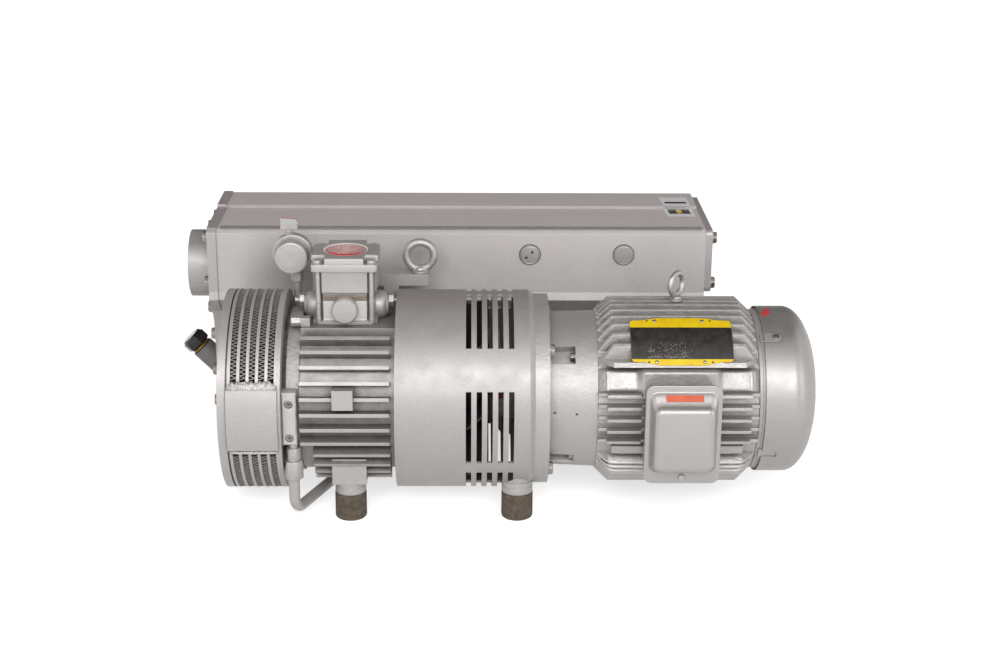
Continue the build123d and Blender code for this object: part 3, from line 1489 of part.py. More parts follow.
# Oil filler's slanting neck
with BuildPart() as filler_neck:
    with BuildSketch(filler_axis.offset(-filler_root)):
        Circle(filler_r)
        Circle(filler_mouth_r, mode=Mode.SUBTRACT)
    extrude(amount=filler_neck_end + filler_root)
    split(bisect_by=Plane(origin=(plate_face, 0, 0), z_dir=(-1, 0, 0)), keep=Keep.TOP)
filler_neck.part.label = "filler_neck"
export_step(filler_neck.part, "parts/filler_neck.step")

# Seal under the filler cap
with BuildPart() as filler_seal:
    with BuildSketch(filler_axis.offset(filler_neck_end)):
        Circle(filler_r - filler_seal_inset)
        Circle(filler_mouth_r, mode=Mode.SUBTRACT)
    extrude(amount=filler_seal_height)
filler_seal.part.label = "filler_seal"
export_step(filler_seal.part, "parts/filler_seal.step")

# Hexagon filler cap, with its thread as a plain shank at the thread's root
with BuildPart() as filler_cap:
    with BuildSketch(filler_axis.offset(filler_neck_end + filler_seal_height)):
        RegularPolygon(radius=cap_across / 2, side_count=6, major_radius=False)
    extrude(amount=cap_height)
    with BuildSketch(filler_axis.offset(filler_neck_end + filler_seal_height)):
        Circle(filler_mouth_r - thread_depth)
    extrude(amount=-cap_shank)
filler_cap.part.label = "filler_cap"
export_step(filler_cap.part, "parts/filler_cap.step")

# Oil sight glass on the left end plate
with BuildPart() as sight_glass:
    with BuildSketch(station(plate_face, sight_y, sight_z)):
        RegularPolygon(radius=sight_r, side_count=6, major_radius=False)
    extrude(amount=-sight_height)
    with BuildSketch(station(plate_face - sight_height, sight_y, sight_z)):
        Circle(sight_r - sight_collar_step)
    extrude(amount=-sight_collar_height)
    with BuildSketch(station(plate_face - sight_height - sight_collar_height, sight_y, sight_z)):
        Circle(sight_r - sight_window_step)
    extrude(amount=sight_window_depth, mode=Mode.SUBTRACT)
sight_glass.part.label = "sight_glass"
export_step(sight_glass.part, "parts/sight_glass.step")

# Drain plug on its washer
with BuildPart() as drain_plug:
    with BuildSketch(station(plate_face, drain_y, drain_z)):
        Circle(drain_across / 2 + drain_washer)
    extrude(amount=-drain_washer)
    with BuildSketch(station(plate_face - drain_washer, drain_y, drain_z)):
        RegularPolygon(radius=drain_across / 2, side_count=6, major_radius=False)
    extrude(amount=-drain_head)
drain_plug.part.label = "drain_plug"
export_step(drain_plug.part, "parts/drain_plug.step")

# Rubber blocks of the feet
foot_spots = [(x, y) for x in foot_x for y in (foot_front_y, foot_rear_y)]
with BuildPart() as rubber_feet:
    with BuildSketch(level(-axis_z)):
        with Locations(*foot_spots):
            Circle(foot_r)
    extrude(amount=foot_height)
    with BuildSketch(level(-axis_z)):
        with Locations(*foot_spots):
            Circle(foot_hole_r)
    extrude(amount=foot_hole_depth, mode=Mode.SUBTRACT)
rubber_feet.part.label = "rubber_feet"
export_step(rubber_feet.part, "parts/rubber_feet.step")

# Round steel plates on the rubber blocks
with BuildPart() as foot_studs:
    with BuildSketch(level(foot_height - axis_z)):
        with Locations(*foot_spots):
            Circle(stud_r)
    extrude(amount=stud_height)
foot_studs.part.label = "foot_studs"
export_step(foot_studs.part, "parts/foot_studs.step")
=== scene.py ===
import json
from math import atan2, cos, pi, radians, sin, sqrt, tau

import bmesh
import bpy
from mathutils import Matrix, Vector, noise


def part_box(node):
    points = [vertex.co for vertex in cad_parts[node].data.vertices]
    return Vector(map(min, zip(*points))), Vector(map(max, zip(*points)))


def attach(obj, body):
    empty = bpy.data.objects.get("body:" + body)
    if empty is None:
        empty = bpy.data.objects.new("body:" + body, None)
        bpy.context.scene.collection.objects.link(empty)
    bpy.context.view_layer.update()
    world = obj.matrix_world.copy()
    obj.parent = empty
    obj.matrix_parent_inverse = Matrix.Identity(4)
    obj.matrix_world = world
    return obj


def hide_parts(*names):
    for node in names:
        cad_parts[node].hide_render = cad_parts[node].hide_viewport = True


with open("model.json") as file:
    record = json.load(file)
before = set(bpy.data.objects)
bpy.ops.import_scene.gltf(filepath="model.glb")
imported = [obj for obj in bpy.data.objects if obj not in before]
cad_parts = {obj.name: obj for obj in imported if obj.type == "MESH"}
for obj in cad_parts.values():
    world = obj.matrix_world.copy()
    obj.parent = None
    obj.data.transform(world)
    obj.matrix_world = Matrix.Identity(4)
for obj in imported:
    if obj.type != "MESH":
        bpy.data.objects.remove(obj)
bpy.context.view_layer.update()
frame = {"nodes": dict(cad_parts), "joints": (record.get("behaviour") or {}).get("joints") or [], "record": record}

mm = 0.001

# Places that the frame gives, in metres
motor_spin = next(joint for joint in frame["joints"] if joint["name"] == "motor_spin")
shaft_y, shaft_z = motor_spin["pos_m"][1:]


def low(node):
    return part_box(node)[0]


def high(node):
    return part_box(node)[1]


def middle(node):
    return (low(node) + high(node)) / 2


def extent(node):
    """A node's width, depth and height in millimetres."""
    return (high(node) - low(node)) / mm


def islands(node):
    """The separate solids of a CAD node, each as its low and high corner."""
    work = bmesh.new()
    work.from_mesh(frame["nodes"][node].data)
    bmesh.ops.remove_doubles(work, verts=work.verts, dist=1e-6)
    left, boxes = set(work.verts), []
    while left:
        edge_of_island = [left.pop()]
        spots = []
        while edge_of_island:
            vert = edge_of_island.pop()
            spots.append(vert.co.copy())
            for link in vert.link_edges:
                other = link.other_vert(vert)
                if other in left:
                    left.remove(other)
                    edge_of_island.append(other)
        boxes.append([Vector([pick(spot[axis] for spot in spots) for axis in range(3)])
                      for pick in (min, max)])
    work.free()
    return sorted(boxes, key=lambda box: tuple(box[0]))


# Materials
class Nodes:
    """A node tree, with short calls for the nodes that the finishes, the floor and the world share."""

    def __init__(self, tree):
        self.tree = tree

    def node(self, kind, inputs=None, **settings):
        made = self.tree.nodes.new(kind)
        for key, value in settings.items():
            setattr(made, key, value)
        for key, value in (inputs or {}).items():
            self.put(value, made.inputs[key])
        return made

    def put(self, value, socket):
        if isinstance(value, bpy.types.NodeSocket):
            self.tree.links.new(value, socket)
        else:
            socket.default_value = value

    def ramp(self, value, start, end, first=0.0, last=1.0):
        return self.node("ShaderNodeMapRange", {"Value": value, "From Min": start, "From Max": end,
                                                "To Min": first, "To Max": last}).outputs["Result"]

    def sum(self, first, second, operation="ADD"):
        return self.node("ShaderNodeMath", {0: first, 1: second}, operation=operation).outputs[0]

    def times(self, first, second):
        return self.sum(first, second, "MULTIPLY")

    def seen(self):
        """One for rays from the camera, off gloss and through glass, none for the light on the object."""
        rays = self.node("ShaderNodeLightPath").outputs
        shown = self.sum(rays["Is Camera Ray"], rays["Is Glossy Ray"], "MAXIMUM")
        return self.sum(shown, rays["Is Transmission Ray"], "MAXIMUM")


class Graph(Nodes):
    """The node tree of a new material."""

    def __init__(self, name):
        self.material = bpy.data.materials.new(name)
        self.material.use_nodes = True
        super().__init__(self.material.node_tree)
        self.shader = self.tree.nodes["Principled BSDF"]

    def set(self, **inputs):
        """Values or nodes for the shader's inputs, whose names are written with _ for a space."""
        for key, value in inputs.items():
            self.put(value, self.shader.inputs[key.replace("_", " ")])

    def noise(self, scale, detail=3.0, roughness=0.5, stretch=(1, 1, 1)):
        spot = self.node("ShaderNodeTexCoord").outputs["Object"]
        spot = self.node("ShaderNodeMapping", {"Vector": spot, "Scale": stretch}).outputs["Vector"]
        return self.node("ShaderNodeTexNoise", {"Vector": spot, "Scale": scale, "Detail": detail,
                                                "Roughness": roughness}).outputs["Fac"]

    def mix(self, share, first, second):
        made = self.node("ShaderNodeMix", data_type="RGBA")
        for socket, value in ((0, share), (6, first), (7, second)):
            self.put(value, made.inputs[socket])
        return made.outputs[2]

    def finish(self, tone, normal, rough, metallic=0.0):
        self.set(Base_Color=tone, Normal=normal, Roughness=rough, Metallic=metallic)
        return self.material

    def edges(self, radius):
        """The normal rounded over the edges, and how much of an edge a point is on."""
        rounded = self.node("ShaderNodeBevel", {"Radius": radius}, samples=4).outputs["Normal"]
        flat = self.node("ShaderNodeNewGeometry").outputs["Normal"]
        likeness = self.node("ShaderNodeVectorMath", {0: rounded, 1: flat},
                             operation="DOT_PRODUCT").outputs["Value"]
        return rounded, self.ramp(likeness, 0.995, 0.85)

    def bump(self, height, strength, distance, normal):
        return self.node("ShaderNodeBump", {"Height": height, "Strength": strength, "Distance": distance,
                                            "Normal": normal}).outputs["Normal"]

    def hollow_grime_and_shade(self, reach, most):
        """How far a point lies in a corner or a gap, from none to the given share: a mask for darkening that is
        partly grime and partly painted shade.
        """
        open_share = self.node("ShaderNodeAmbientOcclusion", {"Distance": reach}, samples=4).outputs["AO"]
        return self.ramp(open_share, 0.8, 0.15, 0, most)


def rgb(red, green, blue):
    """A colour as a screen shows it, 0 to 255, in the renderer's linear values."""
    def linear(value):
        share = value / 255
        return share / 12.92 if share <= 0.04045 else ((share + 0.055) / 1.055) ** 2.4
    return (linear(red), linear(green), linear(blue), 1)


def shade(colour, factor):
    return rgb(*[min(255, factor * value) for value in colour])


def paint(name, colour, metallic=0.42, rough=0.46, cast=0.0, cast_scale=110, edge=1.2, worn_edge_and_highlight=0.5,
          grime_and_shade=(104, 92, 80), grime_and_shade_share=0.6, reach=16, level_grime_and_light=0.55, streak=0.0, level_grime_and_light_colour=(162, 151, 150)):
    """Sprayed silver paint: specks, a cast skin, lighter worn edges that are also a painted highlight, a tone on
    level faces that is partly grime and partly painted light, and darkening in corners that is partly grime and
    partly painted shade.
    """
    graph = Graph(name)
    tone = graph.mix(graph.ramp(graph.noise(9, 4, 0.6), 0.3, 0.7, 0, 0.5), rgb(*colour), shade(colour, 0.93))
    grains, speck = graph.noise(620, 3, 0.75), 0.22
    tone = graph.mix(graph.ramp(grains, 0.42, 0.7, 0, speck), tone, shade(colour, 1.25))
    tone = graph.mix(graph.ramp(grains, 0.5, 0.25, 0, speck), tone, shade(colour, 0.7))
    if streak:
        runs = graph.noise(6, 5, 0.65, (0.3, 3, 3))
        tone = graph.mix(graph.ramp(runs, 0.42, 0.75, 0, streak), tone, rgb(*grime_and_shade))
    # Level, upward faces take another tone in streaks: partly grime lying on them and partly painted light that
    # sets how bright the tops look.
    flat = graph.node("ShaderNodeNewGeometry").outputs["Normal"]
    level = graph.node("ShaderNodeSeparateXYZ", {0: flat}).outputs[2]
    streaks = graph.ramp(graph.noise(26, 5, 0.7, (0.25, 4, 1)), 0.3, 0.7, 0.7, 1)
    level_grime_and_light_mask = graph.times(graph.ramp(level, 0.8, 0.99, 0, level_grime_and_light), streaks)
    tone = graph.mix(level_grime_and_light_mask, tone, rgb(*level_grime_and_light_colour))
    rounded, on_edge = graph.edges(edge * mm)
    # Lighter, patchy edges: worn paint, and also a painted highlight along the edges.
    patchy = graph.ramp(graph.noise(140, 3, 0.6), 0.35, 0.6, 0.35, 1)
    tone = graph.mix(graph.times(graph.times(on_edge, patchy), worn_edge_and_highlight), tone, rgb(216, 213, 210))
    # Darker in corners and hollows by ambient occlusion: partly grime, partly painted shade.
    blotch = graph.ramp(graph.noise(60, 4, 0.65), 0.3, 0.65, 0.6, 1)
    tone = graph.mix(graph.times(graph.hollow_grime_and_shade(reach * mm, grime_and_shade_share), blotch), tone, rgb(*grime_and_shade))
    normal = graph.bump(grains, 0.2, 0.4 * mm, rounded)
    if cast:
        normal = graph.bump(graph.noise(cast_scale, 5, 0.62), cast, 3 * mm, normal)
    roughness = graph.ramp(graph.noise(40, 3), 0.3, 0.7, rough - 0.05, rough + 0.08)
    return graph.finish(tone, normal, graph.sum(roughness, graph.times(level_grime_and_light_mask, 0.2)),
                        graph.ramp(level_grime_and_light_mask, 0, 1, metallic, 0.05))


def bare_metal(name, colour, rough=0.3):
    """Plated or bare metal with fine scratches, dull patches, a painted highlight on its edges, and grime with
    painted shade in its corners.
    """
    graph = Graph(name)
    patch = graph.noise(90, 4, 0.6)
    tone = graph.mix(graph.ramp(patch, 0.35, 0.75, 0, 0.5), rgb(*colour), shade(colour, 0.75))
    rounded, on_edge = graph.edges(0.6 * mm)
    # Lighter edges: a painted highlight.
    tone = graph.mix(graph.times(on_edge, 0.5), tone, shade(colour, 1.2))
    # Darker in corners: partly grime, partly painted shade.
    tone = graph.mix(graph.hollow_grime_and_shade(6 * mm, 0.5), tone, rgb(88, 78, 68))
    normal = graph.bump(graph.noise(1400, 2, 0.7), 0.12, 0.2 * mm, rounded)
    return graph.finish(tone, normal, graph.ramp(patch, 0.3, 0.7, rough - 0.06, rough + 0.14), 1.0)


def moulded(name, colour, rough=0.35, grain=0.08, grain_scale=1200, grime_and_shade_share=0.25, second=None, mottle=50):
    """Moulded plastic, rubber, print or composite with a fine skin, and a little grime with painted shade in its
    corners.
    """
    graph = Graph(name)
    blotch = graph.noise(mottle, 5, 0.65)
    other = rgb(*second) if second else shade(colour, 1.3)
    tone = graph.mix(graph.ramp(blotch, 0.35, 0.65, 0, 1 if second else 0.4), rgb(*colour), other)
    # Darker in corners by ambient occlusion: partly grime, partly painted shade.
    tone = graph.mix(graph.hollow_grime_and_shade(8 * mm, grime_and_shade_share), tone, rgb(118, 108, 96))
    rounded = graph.edges(0.8 * mm)[0]
    normal = graph.bump(graph.noise(grain_scale, 3, 0.6), grain, 0.4 * mm, rounded)
    return graph.finish(tone, normal, graph.ramp(blotch, 0.3, 0.7, rough - 0.05, rough + 0.1))


silver = (178, 174, 172)
finishes = {
    "painted_casting": paint("silver_paint_on_casting", silver, cast=0.14, grime_and_shade=(86, 76, 68), grime_and_shade_share=0.85,
                             reach=22),
    "painted_iron": paint("silver_paint_on_iron", silver, metallic=0.62, rough=0.41, cast=0.4, cast_scale=130,
                          grime_and_shade=(104, 90, 76), grime_and_shade_share=0.6, level_grime_and_light=0.4, level_grime_and_light_colour=(142, 134, 124)),
    "painted_sheet": paint("silver_paint_on_sheet", silver, worn_edge_and_highlight=0.35, grime_and_shade_share=0.45),
    "cooler_metal": paint("silver_paint_on_aluminium", (178, 175, 173), worn_edge_and_highlight=0.4, grime_and_shade_share=0.5),
    # Cooler fins: near-black darkening between the folds, mostly painted shade with some grime.
    "fin_metal": paint("fin_metal_grime_and_painted_shade", (158, 154, 150), rough=0.48, edge=0.3, grime_and_shade_share=1.0, grime_and_shade=(24, 20, 18),
                       reach=11, level_grime_and_light=0.0),
    "steel": bare_metal("zinc_plated_steel", (158, 154, 149), rough=0.36),
    "cast_iron": bare_metal("machined_iron", (128, 127, 128), rough=0.42),
    "winding": moulded("varnished_windings", (96, 62, 40)),
    "rubber": moulded("brown_stained_rubber", (104, 94, 82), rough=0.8, grain=0.9, grain_scale=260, grime_and_shade_share=0.5,
                      second=(78, 67, 55), mottle=120),
    "seal_rubber": moulded("black_rubber", (30, 29, 28), rough=0.6),
    "vane": moulded("vane_composite", (44, 43, 42), rough=0.5),
    "fan_plastic": moulded("black_fan_plastic", (40, 39, 38), rough=0.45),
    "coupling_rubber": moulded("red_coupling_rubber", (150, 34, 30), rough=0.55),
    "red_plastic": moulded("red_plastic", (196, 88, 88), rough=0.3, second=(206, 182, 178), mottle=260),
    "black_plastic": moulded("black_plastic", (24, 22, 22), rough=0.18, grain=0.04),
    "filter_media": moulded("filter_felt", (214, 208, 190), rough=0.9, grain=0.8, grain_scale=500),
    "plate": moulded("yellow_enamel", (226, 184, 10), rough=0.3, grain=0.03, grime_and_shade_share=0.1),
    "sight": moulded("sight_glass_ring", (176, 172, 160), rough=0.15, grain=0.02),
}
# Cylinder paint: strong darkening in the fins' hollows and under the deck, and a dark tone on level faces, each
# partly grime and partly painted shade.
grimy_shaded_casting = paint("cylinder_paint_grime_and_painted_shade", silver, metallic=0.5, cast=0.12, grime_and_shade=(62, 54, 47), grime_and_shade_share=0.95,
                      reach=30, level_grime_and_light=0.9, level_grime_and_light_colour=(116, 111, 108))
# The fan-side cover's paint darkens its hollows the same way, partly grime and partly painted shade.
rough_casting = paint("rough_cover_paint", silver, cast=0.6, cast_scale=150, grime_and_shade=(62, 54, 47), grime_and_shade_share=0.9,
                      reach=24)
# The filler neck's paint is darkened as painted shade.
shaded_paint = paint("shaded_neck_paint", (122, 118, 117), metallic=0.3, cast=0.1)
# A lighter copy of the silver paint for the oil manifold, with less tone on its level faces.
lighter_paint = paint("lighter_manifold_paint", (198, 194, 192), metallic=0.35, level_grime_and_light=0.2)
lid_paint = paint("drawn_lid_paint", (172, 168, 166), metallic=0.6, rough=0.36, worn_edge_and_highlight=0.3, grime_and_shade_share=0.3,
                  level_grime_and_light=0.1)
bell_paint = paint("bell_casting_paint", silver, metallic=0.48, rough=0.47, cast=0.3, cast_scale=120,
                   grime_and_shade=(104, 90, 76), level_grime_and_light=0.6, level_grime_and_light_colour=(142, 134, 124))
# The hood's upward faces take a dark tone: painted shade, with some grime.
hood_paint = paint("hood_sheet_paint", (172, 168, 166), metallic=0.47, rough=0.5, cast=0.02, level_grime_and_light=0.9,
                   level_grime_and_light_colour=(136, 129, 124))
glossy_sheet = paint("glossy_cover_paint", (168, 164, 162), metallic=0.68, rough=0.43, worn_edge_and_highlight=0.3, grime_and_shade_share=0.4,
                     grime_and_shade=(112, 104, 96), level_grime_and_light=0.1)
# The tank's level top takes a warm tone almost everywhere: partly grime lying on it and partly painted light.
tank_sheet = paint("tank_paint", (194, 189, 188), metallic=0.2, rough=0.5, grime_and_shade_share=0.55, level_grime_and_light=0.95,
                   level_grime_and_light_colour=(200, 190, 189))
thread_sleeve = moulded("faded_thread_sleeve", (206, 182, 178), rough=0.5, grain=0.6, grain_scale=300,
                        second=(186, 132, 128), mottle=260)
stained_band = paint("stained_inlet_paint", (138, 124, 110), metallic=0.3, streak=0.5)
panel_black = moulded("worn_black_panel", (30, 27, 25), rough=0.4, second=(50, 46, 43), mottle=90, grime_and_shade_share=0.1)
label_orange = moulded("orange_label", (192, 84, 50), rough=0.4)
label_white = moulded("white_label", (226, 222, 222), rough=0.4)
arrow_red = moulded("red_arrow_print", (192, 62, 62), rough=0.4)
bright_red = moulded("bright_red_lip", (244, 24, 34), rough=0.3)
brass = bare_metal("brass_thread", (176, 128, 52))
cap_label = bare_metal("silver_cap_label", (196, 196, 198), rough=0.2)
worn_metal = moulded("worn_plate_flecks", (136, 131, 126), rough=0.5)
# A flat dark grey that stands in for shade in narrow openings and holes: painted shade.
gap_shadow = moulded("painted_gap_shadow", (86, 81, 78), rough=0.8)
seat_edge = moulded("bare_seat_edge", (240, 236, 234), rough=0.45)
weld_metal = paint("painted_weld", (186, 183, 181), rough=0.36, cast=0.6, cast_scale=260, worn_edge_and_highlight=0.3, grime_and_shade_share=0.5)

# Each CAD node's finish: its slot's, or its own where the photograph shows it lighter, darker or rougher
own_finishes = {
    "bell_housing": bell_paint, "fan_hood": hood_paint, "cylinder": grimy_shaded_casting,
    "cover_fan_side": rough_casting, "cover_drive_side": grimy_shaded_casting, "filler_neck": shaded_paint,
    "oil_manifold": lighter_paint, "motor_fan_cover": glossy_sheet, "motor_frame": finishes["painted_iron"],
    "inlet_fittings": finishes["painted_iron"], "separator_housing": tank_sheet,
}
slot_of = {entry["node"]: entry["material_slot"] for entry in frame["record"]["subparts"]}
for node_name, node in frame["nodes"].items():
    node.data.materials.clear()
    node.data.materials.append(own_finishes.get(node_name, finishes[slot_of[node_name]]))


def add_object(name, data):
    made = bpy.data.objects.new(name, data)
    bpy.context.scene.collection.objects.link(made)
    return made


class Shape:
    """Points and faces for one object, its lofts given in millimetres within a frame."""

    def __init__(self):
        self.points, self.faces = [], []

    def loft(self, rings, spot=Matrix(), ends=True, closed=False):
        """Rings of as many points each, joined in order, with flat ends or closed into a hoop."""
        count = len(rings[0])
        points = [point for ring in rings for point in ring]
        faces = []
        for ring in range(len(rings) if closed else len(rings) - 1):
            here, there = ring * count, (ring + 1) % len(rings) * count
            for corner in range(count):
                after = (corner + 1) % count
                faces.append((here + corner, here + after, there + after, there + corner))
        if ends and not closed:
            faces += [tuple(reversed(range(count))), tuple(range(len(points) - count, len(points)))]
        first = len(self.points)
        self.points += [spot @ (Vector(point) * mm) for point in points]
        self.faces += [tuple(first + corner for corner in face) for face in faces]

    def make(self, name, slot, body="root", nodes=(), material=None, smooth=40):
        mesh = bpy.data.meshes.new(name)
        mesh.from_pydata([tuple(point) for point in self.points], [], self.faces)
        mesh.update()
        work = bmesh.new()
        work.from_mesh(mesh)
        bmesh.ops.recalc_face_normals(work, faces=work.faces)
        work.to_mesh(mesh)
        work.free()
        mesh.shade_smooth()
        mesh.set_sharp_from_angle(angle=radians(smooth))
        mesh.materials.append(material or finishes[slot])
        made = add_object(name, mesh)
        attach(made, body)
        if nodes:
            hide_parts(*nodes)
        return made


def place(origin, out=(0, 0, 1), side=(1, 0, 0)):
    """A frame at a point in metres, with Z pointing out and X to the side."""
    out = Vector(out).normalized()
    side = Vector(side)
    side = (side - side.dot(out) * out).normalized()
    return Matrix.Translation(Vector(origin)) @ Matrix((side, out.cross(side), out)).transposed().to_4x4()


def foot_of(start, end):
    """The middle of a box's lower face, in metres."""
    return Vector(((start.x + end.x) / 2, (start.y + end.y) / 2, start.z))


def facing_front(start, end, y=None):
    """A frame in the middle of a box's rear face, or at another depth, that looks to the front."""
    return place(((start.x + end.x) / 2, end.y if y is None else y, (start.z + end.z) / 2), (0, -1, 0))


def smooth_step(value):
    share = min(1, max(0, value))
    return share * share * (3 - 2 * share)


def soft_least(reaches, sharpness):
    """Nearly the least of some reaches, or the greatest for a sharpness below zero, with a rounded change."""
    return sum(reach ** -sharpness for reach in reaches) ** (-1 / sharpness)


def circle(radius, height, sides=48):
    return [(radius * cos(tau * index / sides), radius * sin(tau * index / sides), height)
            for index in range(sides)]


def hexagon(across, height, limit=None, turn=0.0):
    """A hexagon's outline with points along its sides, drawn in to a circle where a limit is given."""
    ring, steps = [], 4
    for index in range(6 * steps):
        angle = tau * index / (6 * steps)
        radius = across / 2 / cos((angle + pi / 6) % (pi / 3) - pi / 6)
        radius = min(radius, limit) if limit else radius
        ring.append((radius * cos(angle + turn), radius * sin(angle + turn), height))
    return ring


def rounded_box(width, depth, corner, height, shift=(0, 0), steps=6):
    """The outline of a rectangle with round corners."""
    ring = []
    for quarter, (across, along) in enumerate(((1, 1), (-1, 1), (-1, -1), (1, -1))):
        centre = (across * (width / 2 - corner) + shift[0], along * (depth / 2 - corner) + shift[1])
        for step in range(steps + 1):
            angle = pi / 2 * (quarter + step / steps)
            ring.append((centre[0] + corner * cos(angle), centre[1] + corner * sin(angle), height))
    return ring


def turned(profile, sides=64):
    """Rings for a turned shape, from pairs of radius and height."""
    return [circle(radius, height, sides) for radius, height in profile]


def bolt_head(shape, spot, across, height, washer=0.0):
    """A hexagon head with its top corners turned off, on a washer where it has one."""
    washer_r, top = across * 0.62, washer + height
    if washer:
        shape.loft(turned([(washer_r, 0), (washer_r, washer - 0.3), (across * 0.6, washer)], 32), spot)
    shape.loft([hexagon(across, washer), hexagon(across, top - 0.12 * across),
                hexagon(across, top, across * 0.48)], spot)


def tube(shape, path, radius, sides=28):
    """A round tube along a path of points in metres."""
    rings = []
    side = Vector((1, 0, 0.2))
    for index, point in enumerate(path):
        ahead = path[min(index + 1, len(path) - 1)] - path[max(index - 1, 0)]
        spot = place(point, ahead, side)
        side = spot.to_3x3() @ Vector((1, 0, 0))
        rings.append([tuple((spot @ (Vector(corner) * mm)) / mm) for corner in circle(radius, 0, sides)])
    shape.loft(rings)


def rounded_path(corners, bend):
    """A path through corner points in metres, with each inner corner turned by an arc."""
    path, steps = [corners[0]], 10
    for before, corner, after in zip(corners, corners[1:], corners[2:]):
        start, end = (before - corner).normalized(), (after - corner).normalized()
        half = start.angle(end) / 2
        reach = bend / abs(sin(half) / cos(half))
        centre = corner + (start + end).normalized() * (bend / sin(half))
        first, last = corner + start * reach - centre, corner + end * reach - centre
        for step in range(steps + 1):
            spoke = first.slerp(last, step / steps)
            path.append(centre + spoke * (first.length / spoke.length))
    return path + [corners[-1]]


def around_shaft(x, radius, turn):
    """A point in metres at a radius from the shaft, turned up from the front by an angle in radians."""
    return Vector((x, shaft_y - radius * cos(turn), shaft_z + radius * sin(turn)))


def shaft_point(x, radius, turn):
    """The same from and in millimetres, as a ring's point."""
    return tuple(around_shaft(x * mm, radius * mm, turn) / mm)


def facing_out(x, radius, turn):
    """A frame at such a point, in millimetres, that looks away from the shaft."""
    return place(around_shaft(x * mm, radius * mm, turn), (0, -cos(turn), sin(turn)))


# Cooler fins: a thin folded strip in each gap between two tubes
tube_count = 6
cooler_r = (high("cooler_tubes").y - shaft_y) / mm
tube_depth = 27.7
tube_width = (low("cooler_fins").x - low("cooler_tubes").x) / mm
row_pitch = (extent("cooler_tubes").x - tube_width) / (tube_count - 1)
row_width = row_pitch - tube_width
header_start, header_end = radians(24), radians(339)
folds_in_row = 138
fold_sheet = 0.65


def folded_fins():
    """One zigzag strip round the shaft for each row, its folds a little uneven."""
    shape = Shape()
    step = (header_end - header_start) / folds_in_row
    inner, outer = cooler_r - tube_depth + 0.6, cooler_r - 0.8
    half_sheet = 0.7 * fold_sheet / outer
    for row in range(tube_count - 1):
        left = low("cooler_fins").x / mm + row * row_pitch
        path = []
        for fold in range(folds_in_row):
            uneven = 0.18 * step * noise.noise(Vector((fold * 0.7, row * 9.1, 0)))
            turn = header_start + (fold + 0.5) * step + uneven
            path += [(0, turn - 0.32 * step), (0, turn - 0.18 * step), (1, turn + 0.18 * step),
                     (1, turn + 0.32 * step)]
        corners = ((inner, -half_sheet), (outer, -half_sheet), (outer, half_sheet), (inner, half_sheet))
        rings = []
        for side, turn in path:
            x = left + fold_sheet / 2 + side * (row_width - fold_sheet)
            rings.append([shaft_point(x, radius, turn + swing) for radius, swing in corners])
        shape.loft(rings, ends=False)
    shape.make("folded_fins", "fin_metal", nodes=["cooler_fins"], smooth=20)


# Weld beads where the header meets the tubes, thick above and thin below
def weld_bead(name, turn, width, height, lumps):
    shape = Shape()
    rings, sides, steps = [], 18, 150
    left, right = low("cooler_header").x / mm + 1.2, high("cooler_header").x / mm - 0.6
    bead_r = cooler_r + 1.5
    for index in range(steps + 1):
        share = index / steps
        x = left + (right - left) * share
        wander = noise.noise(Vector((x * 0.17, turn * 3, 7))) * lumps
        taper = min(1, 8 * share, 8 * (1 - share)) ** 0.5
        ring = []
        for corner in range(sides):
            angle = tau * corner / sides
            lump = noise.noise(Vector((x * 0.42, cos(angle) * 1.6, sin(angle) * 1.6 + turn))) * lumps
            tall = (height + lump * 0.7) * taper
            wide = (width + lump + 0.6 * wander) * taper
            across = wide * cos(angle) + wander
            ring.append(shaft_point(x, bead_r + tall * sin(angle), turn + across / bead_r))
        rings.append(ring)
    shape.loft(rings)
    shape.make(name, "cooler_metal", material=weld_metal, smooth=70)


def header_welds():
    weld_bead("header_weld_top", radians(20.6), 7.4, 4.4, 2.2)
    weld_bead("header_weld_low", radians(-17.7), 2.4, 3.6, 1.0)


# Eye bolts: a round ring that flares into its neck and collar, the motor's one smaller and turned
bar_eye_r = 20.5


def eye_bolt(shape, foot, turn, ring_r, wire, rise):
    spot = place(foot + Vector((0, 0, rise * mm)), (sin(turn), -cos(turn), 0), (cos(turn), sin(turn), 0))
    rings, steps, sides = [], 72, 20
    for index in range(steps):
        angle = tau * index / steps
        flare = 1 + 0.6 * max(0, -sin(angle)) ** 10
        ring = []
        for corner in range(sides):
            round_wire = tau * corner / sides
            reach = wire * cos(round_wire)
            radius = ring_r + (flare * reach if reach > 0 else reach)
            ring.append((radius * cos(angle), radius * sin(angle), wire * sin(round_wire)))
        rings.append(ring)
    shape.loft(rings, spot, closed=True)
    share = ring_r / bar_eye_r
    collar = [(13, 0), (13, 2.6), (12, 3.6), (9.6, 4.4), (8.4, 6), (8, 8)]
    shape.loft(turned([(radius * share, height * share) for radius, height in collar], 40), place(foot))


def eye_bolts():
    shape = Shape()
    bar_foot, motor_foot = (foot_of(*box) for box in islands("eye_bolts"))
    eye_bolt(shape, bar_foot, 0, bar_eye_r, 5.8, 25.5)
    eye_bolt(shape, motor_foot, radians(50), 15.8, 4.3, 25)
    shape.make("eye_bolt_rings", "steel", nodes=["eye_bolts"], material=finishes["painted_iron"])


# Steel oil pipe and its fittings
oil_pipe_r, bend_r = 7.8, 22
rear_run = 41


